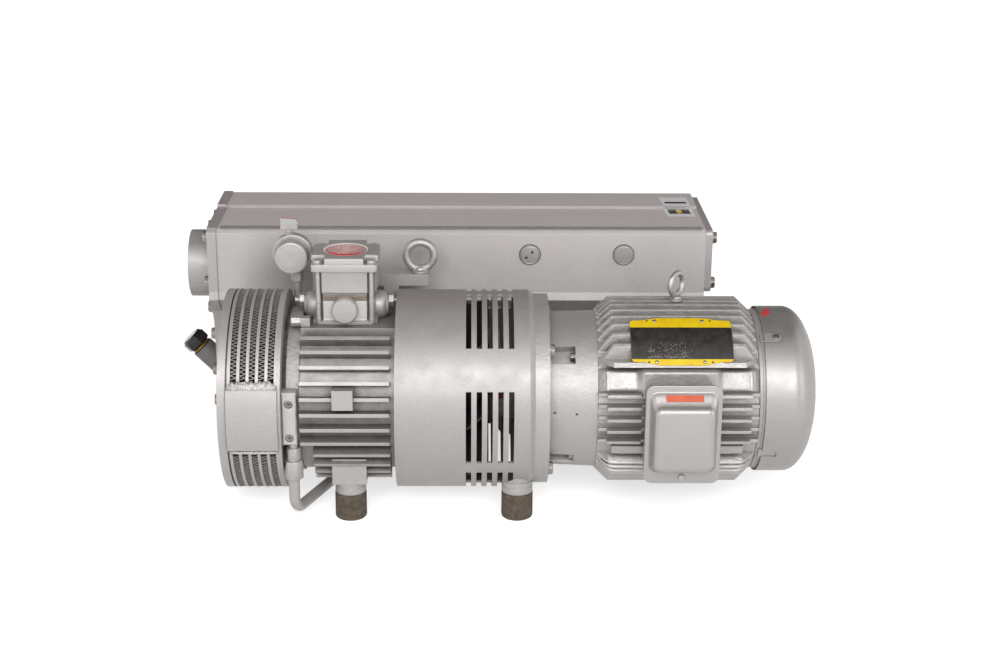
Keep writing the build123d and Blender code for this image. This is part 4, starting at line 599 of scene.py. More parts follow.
def oil_pipe():
    nuts = islands("pipe_fittings")
    front_nut, rear_nut = min(nuts, key=lambda box: box[0].y), max(nuts, key=lambda box: box[0].y)
    inset = Vector((1, 1, 1)) * oil_pipe_r * mm
    near, far = low("oil_pipe") + inset, high("oil_pipe") - inset
    rear_z = (rear_nut[0].z + rear_nut[1].z) / 2
    rear_y = rear_nut[1].y - rear_run * mm
    corners = [Vector((near.x, near.y, front_nut[0].z + 1 * mm)), Vector((near.x, near.y, near.z)),
               Vector((far.x, rear_y, near.z)), Vector((far.x, rear_y, rear_z)),
               Vector((far.x, rear_nut[1].y, rear_z))]
    pipe = Shape()
    tube(pipe, rounded_path(corners, bend_r * mm), oil_pipe_r)
    pipe.make("oil_pipe_bent", "steel", nodes=["oil_pipe"], material=finishes["painted_sheet"])
    shape = Shape()
    foot = place((near.x, near.y, front_nut[0].z))
    length = (front_nut[1].z - front_nut[0].z) / mm
    for base, top, across in ((0, 28, 24), (29, length - 6, 19)):
        chamfer, limit = across * 0.07, across * 0.49
        shape.loft([hexagon(across, height, reach, turn=0.4) for height, reach in
                    ((base, limit), (base + chamfer, None), (top - chamfer, None), (top, limit))], foot)
    for profile in ([(9.2, 26), (9.2, 31)], [(8.6, 28.2), (10.4, 28.6), (10.4, 29.9), (8.6, 30.3)],
                    [(6.8, length - 7), (6.8, length)], [(8.2, -1.6), (9.4, -0.6), (9.8, 0)]):
        shape.loft(turned(profile, 32), foot)
    depth = (rear_nut[1].y - rear_nut[0].y) / mm
    shape.loft([hexagon(25, 0, 12.2), hexagon(25, 1.6), hexagon(25, depth)],
               place((far.x, rear_nut[0].y, rear_z), (0, 1, 0)))
    shape.make("pipe_nuts", "steel", nodes=["pipe_fittings"], material=finishes["painted_casting"])


# Socket screws, flush in the manifold's holes
def manifold_screws():
    shape = Shape()
    head_r, socket, head_depth, socket_depth = 5.9, 5.2, 9, 4
    for start, end in islands("manifold_screws"):
        shape.loft([circle(head_r, -head_depth, 24), circle(head_r, -0.8, 24), circle(head_r - 0.8, 0, 24),
                    hexagon(socket, 0), hexagon(socket, -socket_depth)], facing_front(start, end, start.y))
    shape.make("socket_screws", "steel", nodes=["manifold_screws"])


# Hexagon bolts on their washers, at the places of the CAD solids, those at the right rear nearly flush
def hexagon_bolts():
    shape = Shape()
    washer, low_washer, low_share = 1.4, 0.6, 0.15
    for start, end in islands("hex_bolts"):
        centre = (start + end) / 2
        head = min(end.y - start.y, end.z - start.z) / mm
        across = min(head, 17.0) if head > 12.5 else 11.0
        seat, out = (end.x, -1) if centre.x < -0.4 or 0.11 < centre.x < 0.2 else (start.x, 1)
        spot = place((seat, centre.y, centre.z), (out, 0, 0), (0, 1, 0.3))
        height = (end.x - start.x) / mm - washer
        if centre.x > 0.3 and centre.y > middle("separator_housing").y - 20 * mm:
            bolt_head(shape, spot, across, height * low_share, low_washer)
        else:
            bolt_head(shape, spot, across, height, washer)
    shape.make("hexagon_bolts", "steel", nodes=["hex_bolts"])


# Tie rods of the inlet, with hexagon heads in the flange's pockets
def tie_rods():
    shape = Shape()
    rod_r, collar_r, nut_r, head = 3.6, 4.2, 4.6, 5.0
    for start, end in islands("tie_bolts"):
        foot = foot_of(start, end)
        shoulder = (end.z - start.z) / mm - head
        shape.loft(turned([(nut_r, 0), (nut_r, 9), (rod_r, 9.4), (rod_r, 32), (collar_r, 32.6),
                           (collar_r, 33.4), (rod_r, 34), (rod_r, shoulder)], 24), place(foot))
        seat = place(foot + Vector((0, 0, shoulder * mm)), side=(1, 0.3, 0))
        bolt_head(shape, seat, 12.6, head - 1, 1)
    shape.make("tie_rods", "steel", nodes=["tie_bolts"], material=finishes["painted_sheet"])


# Filler cap: a black hexagon with a bright end label, on a brass thread
def filler_cap():
    body = "filler_cap"
    out = Vector((-1, 0, 1)).normalized()
    spot = place(middle("filler_seal") + out * mm, out, (0, 1, 0))
    shape = Shape()
    shape.loft([hexagon(31, 2.5, 14.6), hexagon(33, 4.5), hexagon(35.6, 6.5), hexagon(35.8, 18.5),
                hexagon(34.5, 21.5, 17.0), hexagon(32, 23.4, 15.8), circle(14.6, 23.9, 24),
                circle(13.8, 23.2, 24)], spot)
    rib_low, rib_high = 7.5, 17.5
    for index in range(6):
        angle = tau * index / 6 + pi / 6
        outline = [(radius * cos(angle + swing), radius * sin(angle + swing))
                   for radius, swing in ((16.4, -0.1), (16.4, 0.1), (17.9, 0.06), (17.9, -0.06))]
        shape.loft([[(x, y, height) for x, y in outline] for height in (rib_low, rib_high)], spot)
    shape.make("filler_cap_black", "black_plastic", body, ["filler_cap"])
    disc = Shape()
    disc.loft(turned([(13.4, 23.0), (13.4, 23.6), (0.01, 23.6)], 40), spot, ends=False)
    disc.make("filler_cap_disc", "steel", body, material=cap_label)
    thread_r, thread_pitch, thread_turns = 11.8, 2.2, 6
    profile = [(thread_r - 0.2, -14), (thread_r, -13.4)]
    for turn in range(thread_turns):
        crest = -12.8 + turn * thread_pitch
        profile += [(thread_r, crest), (thread_r - 0.6, crest + 0.9), (thread_r, crest + 1.8)]
    thread = Shape()
    thread.loft(turned(profile + [(thread_r, 0.1), (15.2, 0.1), (15.2, 2.5), (11.0, 2.6)], 40), spot)
    thread.make("filler_cap_thread", "steel", body, material=brass)


# Data plate: a bent yellow plate with lobes above and below, a bare black panel, rivets and small pips
plate_left, plate_right = low("data_plate").x / mm, high("data_plate").x / mm
plate_r, plate_middle, plate_scale = 137.4, radians(49), 1.2


def plate_turn(along):
    """The turn round the shaft at a height up the plate from its middle."""
    return plate_middle + plate_scale * along / plate_r


def plate_point(x, along, lift=0.0):
    """A point on the plate, from millimetres along the shaft and up the plate from its middle."""
    return shaft_point(x, plate_r + lift, plate_turn(along))


def plate_half(x):
    """Half of the plate's height with its lobes and round corners, at a place along the shaft."""
    share = abs(2 * (x - plate_left) / (plate_right - plate_left) - 1)
    corner = max(0, share - 0.93) / 0.07
    return 28.0 + 4.2 * smooth_step((0.82 - share) / 0.42) - 6 * (1 - sqrt(max(0, 1 - corner * corner)))


def plate_patch(name, inset, low_of, high_of, base, lift, material, nodes=()):
    """A thin bent patch on the plate, between two heights that may change along the shaft."""
    shape = Shape()
    rings, columns, rows = [], 60, 14
    left, right = plate_left + inset, plate_right - inset
    for column in range(columns + 1):
        x = left + (right - left) * column / columns
        start, end = low_of(x), high_of(x)
        heights = [start + (end - start) * row / rows for row in range(rows + 1)]
        rings.append([plate_point(x, along, lift) for along in heights]
                     + [plate_point(x, along, base) for along in reversed(heights)])
    shape.loft(rings)
    shape.make(name, "plate", nodes=nodes, material=material)


def data_plate():
    plate_patch("data_plate_yellow", 0.2, lambda x: 1.8 - plate_half(x), lambda x: plate_half(x) + 4.0, -1.0,
                -0.35, finishes["plate"], ["data_plate"])
    plate_patch("data_plate_panel", 0.3, lambda x: -22.6, lambda x: 20.5, -0.3, -0.2, panel_black)
    marks, rivets, flecks = Shape(), Shape(), Shape()
    for along in (31, -26.4):
        turn = plate_turn(along)
        for x, pip_x in ((36, 25), (104, 115)):
            rivets.loft(turned([(2.8, -0.6), (2.8, -0.2), (2.3, 0.5), (1.2, 0.9), (0.1, 1.0)], 24),
                        facing_out(plate_left + x, plate_r, turn), ends=False)
            marks.loft(turned([(1.5, -0.4), (1.5, -0.12)], 20), facing_out(plate_left + pip_x, plate_r, turn))
    rivets.make("data_plate_rivets", "steel")
    noise.seed_set(11)
    for index in range(240):
        across, up, size, spread = (noise.random() for _ in range(4))
        x = plate_left + (34, 54, 72)[index % 3] + 17 * (across + spread - 1)
        along = -21 + 20 * up * up
        half = 0.25 + 0.6 * size
        corners = ((-1, -1), (1, -0.6), (0.7, 1), (-0.8, 0.7))
        flecks.loft([[plate_point(x + side * half, along + half * end * 0.7, lift) for side, end in corners]
                     for lift in (-0.2, -0.14)])
    flecks.make("data_plate_worn_flecks", "plate", material=worn_metal)
    marks.make("data_plate_pips", "plate", material=panel_black)


# Terminal box lid: a drawn dome on a flat rim, with one screw and a bare orange label
def terminal_lid():
    start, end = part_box("terminal_box_lid")
    lowered = Vector((0, 0, -4.4 * mm))
    spot = facing_front(start + lowered, end + lowered)
    width, depth, height = extent("terminal_box_lid") + Vector((0, 0, 1.6))
    rim, round_edge = 2.6, 9
    base_low, base_high, front_low, front_high = -54, 62, -49, 47
    base_width, front_width = 93, 85

    def section(share, lift, inset=0.0):
        """The dome's outline at a share of the way from its base to its front face."""
        bottom = base_low + (front_low - base_low) * share + inset
        top = base_high + (front_high - base_high) * share - inset
        across = base_width + (front_width - base_width) * share - 2 * inset
        return rounded_box(across, top - bottom, 11 - inset * 0.6, lift, (0, (top + bottom) / 2), 8)

    def lift_at(share):
        return rim + 2 + (depth - rim - 2 - round_edge) * share

    rings = [rounded_box(width - less, height - less, corner, lift, steps=8) for less, corner, lift in
             ((0, 12, 0), (0, 12, rim - 0.8), (0.8, 11.6, rim - 0.2), (2, 11, rim))]
    rings += [section(0, rim, -2.2), section(0, rim + 0.5, -0.8), section(0, rim + 2, 0)]
    rings += [section(share, lift_at(share)) for share in (0.3, 0.6, 0.85)]
    for angle in (10, 25, 40, 55, 70, 90):
        inward = round_edge * (1 - cos(radians(angle)))
        rings.append(section(1, depth - round_edge + round_edge * sin(radians(angle)), inward))
    shape = Shape()
    shape.loft(rings, spot)
    shape.make("terminal_lid_drawn", "painted_sheet", nodes=["terminal_box_lid"], material=lid_paint,
               smooth=70)
    screw = Shape()
    screw.loft(turned([(4.8, 0), (4.8, 1.4), (4.2, 2.2), (3.4, 2.3), (3.2, 1.7), (0.1, 1.7)], 28),
               place(((start.x + end.x) / 2, end.y - rim * mm, start.z + 3.4 * mm), (0, -1, 0)), ends=False)
    screw.make("terminal_lid_screw", "painted_sheet", material=finishes["painted_iron"])
    label = Shape()
    half, low_edge, high_edge = 26, (60.2, rim + 3.5), (52.6, lift_at(0.62))
    face = [(-half, *low_edge), (half, *low_edge), (half, *high_edge), (-half, *high_edge)]
    out = Vector((0, high_edge[1] - low_edge[1], low_edge[0] - high_edge[0])).normalized()
    label.loft([[tuple(Vector(point) + out * lift) for point in face] for lift in (-0.3, 0.9)], spot)
    label.make("terminal_lid_label", "painted_sheet", material=label_orange)


# Inlet's front plug with its casting mark
def inlet_plug():
    spot = facing_front(*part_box("inlet_plug"))
    depth = extent("inlet_plug").y
    face = depth - 0.1
    shape = Shape()
    shape.loft(turned([(17.5, 0), (17.5, depth - 0.9), (16.9, depth - 0.2), (16, face), (0.1, face)]), spot,
               ends=False)
    mark = [spot @ (Vector((-9 + 1.5 * step, 0.6 * sin(step * 1.3) - 1, face)) * mm) for step in range(13)]
    tube(shape, mark, 0.35, 8)
    shape.make("inlet_front_plug", "painted_casting", nodes=["inlet_plug"])


# Round plugs on the separator, each in a thin gap whose shade is painted as a dark ring, one with two small holes
# drawn as black discs of painted shade
def separator_plugs():
    plugs = islands("housing_plugs")
    wall = high("housing_plugs").y - 0.2 * mm
    shape, plug_shadow_rings, holes = Shape(), Shape(), Shape()
    for start, end in plugs:
        depth = (end.y - start.y) / mm
        shape.loft(turned([(15.2, 0)] + [(radius, depth - down) for radius, down in
                                         ((15.2, 0.8), (14.6, 0.1), (13.7, 0), (13.4, 0.7), (13.1, 0.7),
                                          (12.7, 0.1), (0.1, 0.1))]), facing_front(start, end), ends=False)
        plug_shadow_rings.loft(turned([(15, 0), (16.5, 0), (16.5, 0.3), (15, 0.3)]), facing_front(start, end, wall),
                  closed=True)
    left_face = facing_front(*plugs[0], plugs[0][0].y)
    for x, z in ((3.2, 4.4), (-5.6, -3.8)):
        holes.loft(turned([(2, -0.6), (2, 0)], 20), left_face @ Matrix.Translation(Vector((x, z, 0)) * mm))
    shape.make("separator_plugs", "painted_sheet", nodes=["housing_plugs"], material=lid_paint)
    plug_shadow_rings.make("plug_painted_shadows", "painted_sheet", material=gap_shadow)
    holes.make("plug_pin_holes", "black_plastic", material=finishes["seal_rubber"])


# Round filter of the gas ballast, with faint rings on its face and a collar round its foot
def ballast_filter():
    spot = facing_front(*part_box("ballast_filter"))
    radius, depth = extent("ballast_filter").x / 2, extent("ballast_filter").y
    collar_r = radius + 4.6
    profile = [(radius - 0.4, 0), (radius - 0.4, depth - 2.2), (radius - 0.9, depth - 0.9),
               (radius - 2.2, depth - 0.3), (radius - 4, depth)]
    for ring in (19, 3):
        profile += [(ring + 0.6, depth), (ring, depth - 0.12), (ring - 0.6, depth)]
    shape = Shape()
    shape.loft(turned(profile + [(0.1, depth)], 72), spot, ends=False)
    shape.loft(turned([(radius - 1, 0.5), (collar_r, 0.5), (collar_r + 0.8, 1.4), (collar_r, 2.6),
                       (collar_r - 2, 3.2), (radius - 0.6, 2.4)], 72), spot, closed=True)
    shape.make("ballast_filter_can", "painted_sheet", nodes=["ballast_filter"])


# Lever of the gas ballast: a bent plate with orange left on its edges
def ballast_lever():
    half, height = extent("ballast_lever").x / 2, extent("ballast_lever").z
    foot = place(foot_of(*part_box("ballast_lever")))
    outline = [(-half, 3.6), (half - 1, 3.6), (half, 5), (half, height - 5), (half - 5, height - 1.2),
               (1 - half, height), (-half, height - 1)]
    shape = Shape()
    shape.loft([[(x, y, z) for x, z in outline] for y in (-1.5, -0.9, 0.9, 1.5)], foot)
    shape.loft(turned([(6, 0), (6, 3.2), (5.2, 4.0)], 32), foot)
    shape.make("ballast_lever_plate", "steel", "ballast_lever", ["ballast_lever"],
               material=finishes["painted_sheet"])
    edge = Shape()
    section = ((-1.56, -2), (-1.56, 1), (1.2, 1), (1.2, -2))
    for first, last in (((-half, 0, 4), (-half, 0, height - 1)),
                        ((1 - half, 0, height), (half - 5, 0, height - 1.2))):
        out = Vector((first[2] - last[2], 0, last[0] - first[0])).normalized() * 0.12
        edge.loft([[tuple(Vector(point) + Vector((0, y, 0)) + out * lift) for y, lift in section]
                   for point in (first, last)], foot)
    edge.make("ballast_lever_edges", "red_plastic", "ballast_lever", material=label_orange)


# Rubber feet with a cracked skin, and the plates above them
def cracked_reach(spot):
    """How far the rubber's skin stands out or in at a place on it."""
    crack = max(0, 0.14 - abs(noise.noise(spot * 1.9))) / 0.14
    return 0.25 * noise.noise(spot * 9) - 0.75 * crack * (noise.noise(spot * 0.8) > -0.1)


def feet():
    blocks, plates = Shape(), Shape()
    sides, rows = 96, 40
    for index, (start, end) in enumerate(islands("rubber_feet")):
        radius, height = (end.x - start.x) / 2 / mm, (end.z - start.z) / mm
        rings = [circle(5.2, 12, sides), circle(5.2, 0.2, sides)]
        for row in range(rows + 1):
            share = row / rows
            round_off = 1.6 * max(0, 1 - share * 14) ** 2 + 0.9 * max(0, 1 - (1 - share) * 16) ** 2
            ring = []
            for corner in range(sides):
                angle = tau * corner / sides
                skin = cracked_reach(Vector((cos(angle) * 3, sin(angle) * 3, share * 3 + index * 7)))
                reach = radius - 0.5 - round_off + skin
                ring.append((reach * cos(angle), reach * sin(angle), share * height))
            rings.append(ring)
        blocks.loft(rings, place(foot_of(start, end)))
    blocks.make("rubber_blocks", "rubber", nodes=["rubber_feet"], smooth=60)
    for start, end in islands("foot_studs"):
        radius, height = (end.x - start.x) / 2 / mm, (end.z - start.z) / mm
        plates.loft(turned([(radius - 1.2, 0), (radius - 0.4, 0.6), (radius - 0.3, 9.4), (radius - 0.9, 9.9),
                            (radius - 0.9, 10.4), (radius - 0.1, 10.9), (radius - 0.1, height - 0.5),
                            (radius - 0.6, height)]), place(foot_of(start, end)))
    plates.make("foot_plates", "steel", nodes=["foot_studs"], material=finishes["painted_sheet"])


# Red arrow on the fan cover, showing which way the motor turns
cover_left, cover_r = low("motor_fan_cover").x / mm, (high("motor_fan_cover").y - shaft_y) / mm


def turning_arrow():
    shape = Shape()
    tip_x, start, end = cover_left + 6.5, radians(78), radians(93)
    half_shaft, half_head, slant = 4.6, 9.4, 8 / radians(15)
    neck = start + (end - start) * 0.42
    shares = [step / 12 for step in range(13)]
    ways = [(start + (neck - start) * share, half_head * share + 0.02) for share in shares]
    ways += [(neck + (end - neck) * share, half_shaft) for share in shares]
    shape.loft([[shaft_point(tip_x + slant * (turn - start) + side * half, cover_r + lift, turn)
                 for side, lift in ((-1, 0.02), (1, 0.02), (1, 0.2), (-1, 0.2))] for turn, half in ways])
    shape.make("turning_arrow", "red_plastic", material=arrow_red)


# Bare white label over the step of the separator's top, with plain bars in place of its print
def separator_label():
    tank = high("separator_housing") / mm
    left, right = tank.x - 50, tank.x - 6
    front, back, step_y, step, lean = 143, 245, 188, 4.5, 0.05

    def strip(name, inset, first, last, lift, material):
        """One thin layer of the label between two places along its length."""
        ways = [(y, tank.z if y >= step_y else tank.z - step) for y in (first, last)]
        if first < step_y < last:
            ways[1:1] = [(step_y - 0.5, tank.z - step), (step_y - 0.4, tank.z)]
        corners = ((left + inset, lift), (right - inset, lift), (right - inset, lift + 0.04),
                   (left + inset, lift + 0.04))
        shape = Shape()
        shape.loft([[(x - (y - front) * lean, y, z + up) for x, up in corners] for y, z in ways])
        shape.make(name, "plate", material=material)

    strip("separator_label", 0, front, back, 0.05, label_white)
    strip("separator_label_band", 5, 160, 186, 0.09, panel_black)
    strip("separator_label_sign", 18, 163, 183, 0.13, finishes["plate"])
    strip("separator_label_bar", 5, 206, 216, 0.09, panel_black)


# Rough seam strip along the separator's top front edge
def separator_seam():
    start, end = low("separator_housing") / mm, high("separator_housing") / mm
    top, front, inset, count = end.z - 4.5, start.y + 7, 6, 260
    rings = []
    for index in range(count + 1):
        x = start.x + inset + (end.x - start.x - 2 * inset) * index / count
        rough = [noise.noise(Vector((x * 0.09, row, 3))) for row in range(4)]
        back = start.y + 23 + 1.2 * rough[0]
        rings.append([(x, front, top + 0.05), (x, front, top + 0.5 + 0.3 * rough[1]),
                      (x, (front + back) / 2, top + 0.9 + 0.5 * rough[2]),
                      (x, back - 1, top + 0.8 + 0.5 * rough[3]), (x, back, top + 0.05)])
    shape = Shape()
    shape.loft(rings)
    shape.make("separator_seam", "painted_sheet", material=weld_metal, smooth=60)


# Red lining in the inlet's mouth, its bright lip behind, and the bare edge of its seat
def inlet_lining():
    radius, height = extent("inlet_ring").x / 2, extent("inlet_ring").z
    spot = place(foot_of(*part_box("inlet_ring")))
    pitch, turns, lip_steps = 2.3, 8, 40
    profile = [(radius - 0.1, 0), (radius - 0.1, height + 1)]
    for turn in range(turns):
        crest = height - turn * pitch
        profile += [(radius - 1.1, crest + 0.9), (radius - 0.5, crest - 0.3)]
    shape, lip, seat, outline = Shape(), Shape(), Shape(), Shape()
    shape.loft(turned(profile + [(radius - 1.1, 0)], 72), spot, closed=True)
    shape.make("inlet_lining", "red_plastic", nodes=["inlet_ring"], material=thread_sleeve)
    rings = []
    for index in range(lip_steps + 1):
        angle = radians(200 + 140 * index / lip_steps)
        reach = 8 * sin(pi * index / lip_steps) ** 0.7 + 0.1
        rings.append([(r * cos(angle), r * sin(angle), height + up) for r, up in
                      ((radius - 0.3, 0.6), (radius - 0.3, 1.5), (radius - 1.2 - reach / 2, 1.4),
                       (radius - 1.4 - reach, 1.1), (radius - 1.4 - reach, 0.1), (radius - 0.6, -0.2))])
    lip.loft(rings, spot)
    lip.make("inlet_lining_lip", "red_plastic", material=bright_red, smooth=60)
    top, edge_r = height + 1.4, radius + 2.0
    seat.loft(turned([(radius - 0.2, top), (edge_r, top + 0.55), (edge_r, top - 0.5),
                      (radius - 0.2, top - 0.5)], 72), spot, closed=True)
    seat.make("inlet_seat_edge", "painted_casting", material=seat_edge, smooth=50)
    outline.loft(turned([(edge_r, top + 0.3), (edge_r + 1.1, top + 0.3), (edge_r + 1.1, top - 0.5),
                         (edge_r, top - 0.5)], 72), spot, closed=True)
    outline.make("inlet_seat_shadow", "painted_casting", material=gap_shadow)


# Inlet: outlines by the angle round its middle, as the photograph's square casting with grooves for its rods
outline_steps = 288
rod_r, rod_angle = sqrt(37.75 ** 2 + 39.5 ** 2), atan2(39.5, 37.75)
rod_groove, foot_groove = 6.4, 3.5
corner_pocket = 19.5


def polar_ring(reach_of, height):
    """An outline from how far it reaches at each angle."""
    angles = [tau * index / outline_steps for index in range(outline_steps)]
    spokes = [(angle, reach_of(angle)) for angle in angles]
    return [(reach * cos(angle), reach * sin(angle), height) for angle, reach in spokes]


def side_reaches(width, depth, angle, grow=0.0):
    """How far a rectangle's two pairs of sides are from its middle at an angle, with all moved out."""
    return (width / 2 + grow) / max(abs(cos(angle)), 1e-6), (depth / 2 + grow) / max(abs(sin(angle)), 1e-6)


def square_ring(width, depth, height, grow=0.0):
    """A square plate's outline with small round corners."""
    return polar_ring(lambda angle: soft_least(side_reaches(width, depth, angle, grow), 26), height)


def cross_ring(width, depth, height, grow=0.0):
    """The plate's outline between its four corner pockets."""
    def reach(angle):
        arms = [min(side_reaches(width, depth - 2 * corner_pocket, angle, grow)),
                min(side_reaches(width - 2 * corner_pocket, depth, angle, grow))]
        return soft_least(arms, -22)

    return polar_ring(reach, height)


def grooved_ring(side, height, grow=0.0, groove=rod_groove):
    """The body's outline, bulging a little and cut away round the four rods."""
    width, depth = side

    def reach(angle):
        bulge = 1 + 0.035 * cos(2 * angle) ** 2
        wall = soft_least(side_reaches(width, depth, angle, grow), 18) * bulge
        in_half = angle % pi
        swing = abs(min(in_half, pi - in_half) - rod_angle)
        across = rod_r * sin(swing)
        if across < groove:
            return min(wall, rod_r * cos(swing) - sqrt(groove ** 2 - across ** 2))
        return wall

    return polar_ring(reach, height)


def inlet():
    flange_low, flange_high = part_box("inlet_flange")
    centre = middle("inlet_flange")
    spot = place((centre.x, centre.y, 0))
    width, depth, _ = extent("inlet_flange")
    top, parting, deck = flange_high.z / mm, flange_low.z / mm, low("inlet_housing").z / mm
    plate_low, floor = top - 20.4, top - 9
    bore_r, seat_r, throat_r = 28.4, extent("inlet_ring").x / 2 + 0.1, 24
    seat_low = low("inlet_ring").z / mm
    chamber_r, valve_seat = extent("valve_plate").x / 2 + 1, high("valve_plate").z / mm
    chamber_floor = low("valve_spring").z / mm - 0.3
    body, foot = (89, 88), (84, 84)

    def casting(name, bore, outside, nodes=(), lobes=(), material=finishes["painted_sheet"]):
        """A hollow part of the inlet, with its bore as radii and heights and its outside as rings."""
        shape = Shape()
        shape.loft(turned(bore, outline_steps) + outside, spot, closed=True)
        for profile, end in lobes:
            shape.loft(turned(profile, 56), end, ends=False)
        shape.make(name, "painted_casting", nodes=nodes, material=material, smooth=50)

    lobe_x = extent("inlet_housing").x / 2
    lobe = [(21, 34), (21, lobe_x - 13), (20, lobe_x - 8), (17.6, lobe_x - 4), (15.5, lobe_x - 3.4),
            (14.8, lobe_x - 0.6), (13.8, lobe_x), (0.1, lobe_x)]
    lobe_at = (centre.x, centre.y, middle("inlet_fittings").z)
    reach = (centre.y - high("inlet_plug").y) / mm
    seat = [(18.6, 34), (18.6, reach - 1.6), (18, reach - 0.5), (17, reach), (0.1, reach)]
    lobes = [(lobe, place(lobe_at, (side, 0, 0), (0, 1, 0))) for side in (-1, 1)]
    lobes += [(seat, place((centre.x, centre.y, middle("inlet_plug").z), (0, -1, 0)))]
    cross = [cross_ring(width, depth, height, grow) for height, grow in
             ((top, -1.4), (top - 0.4, -0.4), (top - 1.4, 0), (floor, 0))]
    plate = [square_ring(width, depth, height, grow) for height, grow in
             ((floor, -1.2), (floor - 0.4, -0.3), (floor - 1.4, 0), (plate_low + 1.2, 0),
              (plate_low + 0.3, -0.3), (plate_low, -1.2))]
    upper = [grooved_ring(body, height, grow) for height, grow in
             ((plate_low - 0.1, 0.8), (plate_low - 2, 0), (parting + 4.5, 0), (parting + 3, -2),
              (parting, -2.6))]
    lower = [grooved_ring(foot, height, grow, groove) for height, grow, groove in
             ((parting - 8.6, -0.6, rod_groove), (parting - 10, 0, rod_groove), (deck + 8, 0, rod_groove),
              (deck + 5.4, 1, rod_groove), (deck + 4, 4, foot_groove), (deck + 0.1, 4, foot_groove))]
    band = [grooved_ring(foot, parting - down, grow) for down, grow in
            ((0.1, -0.6), (0.8, 0.4), (3.6, 0.2), (4, -1.6), (8.5, -1.4))]
    casting("inlet_head",
            [(chamber_r, parting), (chamber_r, valve_seat + 0.05), (bore_r, valve_seat + 0.05),
             (bore_r, seat_low - 0.3), (seat_r, seat_low - 0.2), (seat_r, top - 1.3),
             (seat_r + 2.6, top - 0.3), (seat_r + 3.2, top)], cross + plate + upper, ["inlet_flange"])
    casting("inlet_body",
            [(throat_r, deck + 0.1), (throat_r, chamber_floor - 0.1), (chamber_r, chamber_floor),
             (chamber_r, parting - 8.6)], lower, ["inlet_housing"], lobes)
    casting("inlet_band", [(chamber_r, parting - 8.5), (chamber_r, parting - 0.1)], band,
            material=stained_band)


# Rim of the motor's end shield, which closes the gap before the fan cover
def shield_rim():
    shape = Shape()
    start = place((high("motor_frame").x, shaft_y, shaft_z), (1, 0, 0), (0, 1, 0))
    gap = cover_left - high("motor_frame").x / mm
    shape.loft(turned([(108.2, -1), (114.6, -1), (115.6, 0.5), (116.8, 1.5), (116.8, gap - 3.5),
                       (118.0, gap - 3), (118.0, gap + 7), (108.2, gap + 7)], 128), start, closed=True)
    shape.make("shield_rim", "painted_iron", material=finishes["painted_casting"])


# Fan cover screws, each in a pressed pocket that opens to the cover's front edge, drawn as a thin patch whose dark
# band is painted shade and whose lighter floor is painted light
def cover_screws():
    screws, floors, pocket_shadow_bands = Shape(), Shape(), Shape()
    screw_x, steps, across = 18, 24, (-1, -0.33, 0.33, 1)
    for turn in (radians(57), radians(147), radians(-123)):
        for shape, grow, lift in ((pocket_shadow_bands, 1, 0.25), (floors, 0, 0.5)):
            rings = []
            for step in range(steps + 1):
                x = 0.6 + (25.4 + grow) * step / steps
                past = max(0, x - screw_x) / (8 + grow)
                half = (8.2 + grow) * sqrt(max(0.02, 1 - past ** 2)) / cover_r
                rings.append([shaft_point(cover_left + x, cover_r + up, turn + way * half * side)
                              for up, way in ((-0.3, 1), (lift, -1)) for side in across])
            shape.loft(rings)
        bolt_head(screws, facing_out(cover_left + screw_x, cover_r + 0.4, turn), 8.4, 2.4, 0.6)
    floors.make("cover_pockets", "painted_sheet", material=finishes["painted_iron"], smooth=60)
    pocket_shadow_bands.make("cover_pocket_painted_shadows", "painted_sheet", material=gap_shadow, smooth=60)
    screws.make("cover_screws", "steel")


# Small plugged holes in the bell housing's side, drawn as flat dark discs of painted shade
def bell_holes():
    shape = Shape()
    for x, radius, turn in ((97.8, 112.3, 2), (129, 113.7, 1.2)):
        shape.loft(turned([(1.9, -0.3), (1.9, 0.12), (0.1, 0.12)], 20), facing_out(x, radius, radians(turn)),
                   ends=False)
    shape.make("bell_hole_shadows", "painted_casting", material=gap_shadow)


# The motor barrel's smooth band between its upper and its side fins, swelling over the terminal box's seat
barrel_left, barrel_right = low("motor_frame").x / mm, high("motor_frame").x / mm
barrel_r = 115


def barrel_band():
    seat_left, seat_right = low("terminal_box").x / mm - 0.6, high("terminal_box").x / mm + 0.6
    seat_depth, seat_top, fade = 124.4, 70.6, 13
    skin_r, band_r, ramp = barrel_r + 1, 127.7, 20 / 21
    start, end, steps = 13.5, 36.1, 44
    ways = []
    for depth in (0.2, 1, 2.5, 5, 8, 11, 14, 18, 24, 34):
        ways += [barrel_left + depth, barrel_right - depth]
    for step in range(9):
        ways += [seat_left - fade * step / 8, seat_right + fade * step / 8]
    shape = Shape()
    rings = []
    for x in sorted(ways):
        most = 116.6 + ramp * min(x - barrel_left, barrel_right - x)
        swell = smooth_step(1 - max(seat_left - x, x - seat_right) / fade)
        ring = []
        for step in range(steps + 1):
            turn = start + (end - start) * step / steps
            rise = smooth_step((turn - 14) / 6) * smooth_step((35.2 - turn) / 5)
            band = soft_least([skin_r + (band_r - skin_r) * rise, most], 60) if rise > 0 else barrel_r + 0.5
            seat = soft_least([seat_depth / cos(radians(turn)), seat_top / sin(radians(turn))], 50)
            ring.append(shaft_point(x, band + max(0, seat - band) * swell, radians(turn)))
        rings.append(ring + [shaft_point(x, barrel_r, radians(turn)) for turn in (end, 24, start)])
    shape.loft(rings)
    shape.make("barrel_band", "painted_iron", material=finishes["painted_iron"], smooth=50)


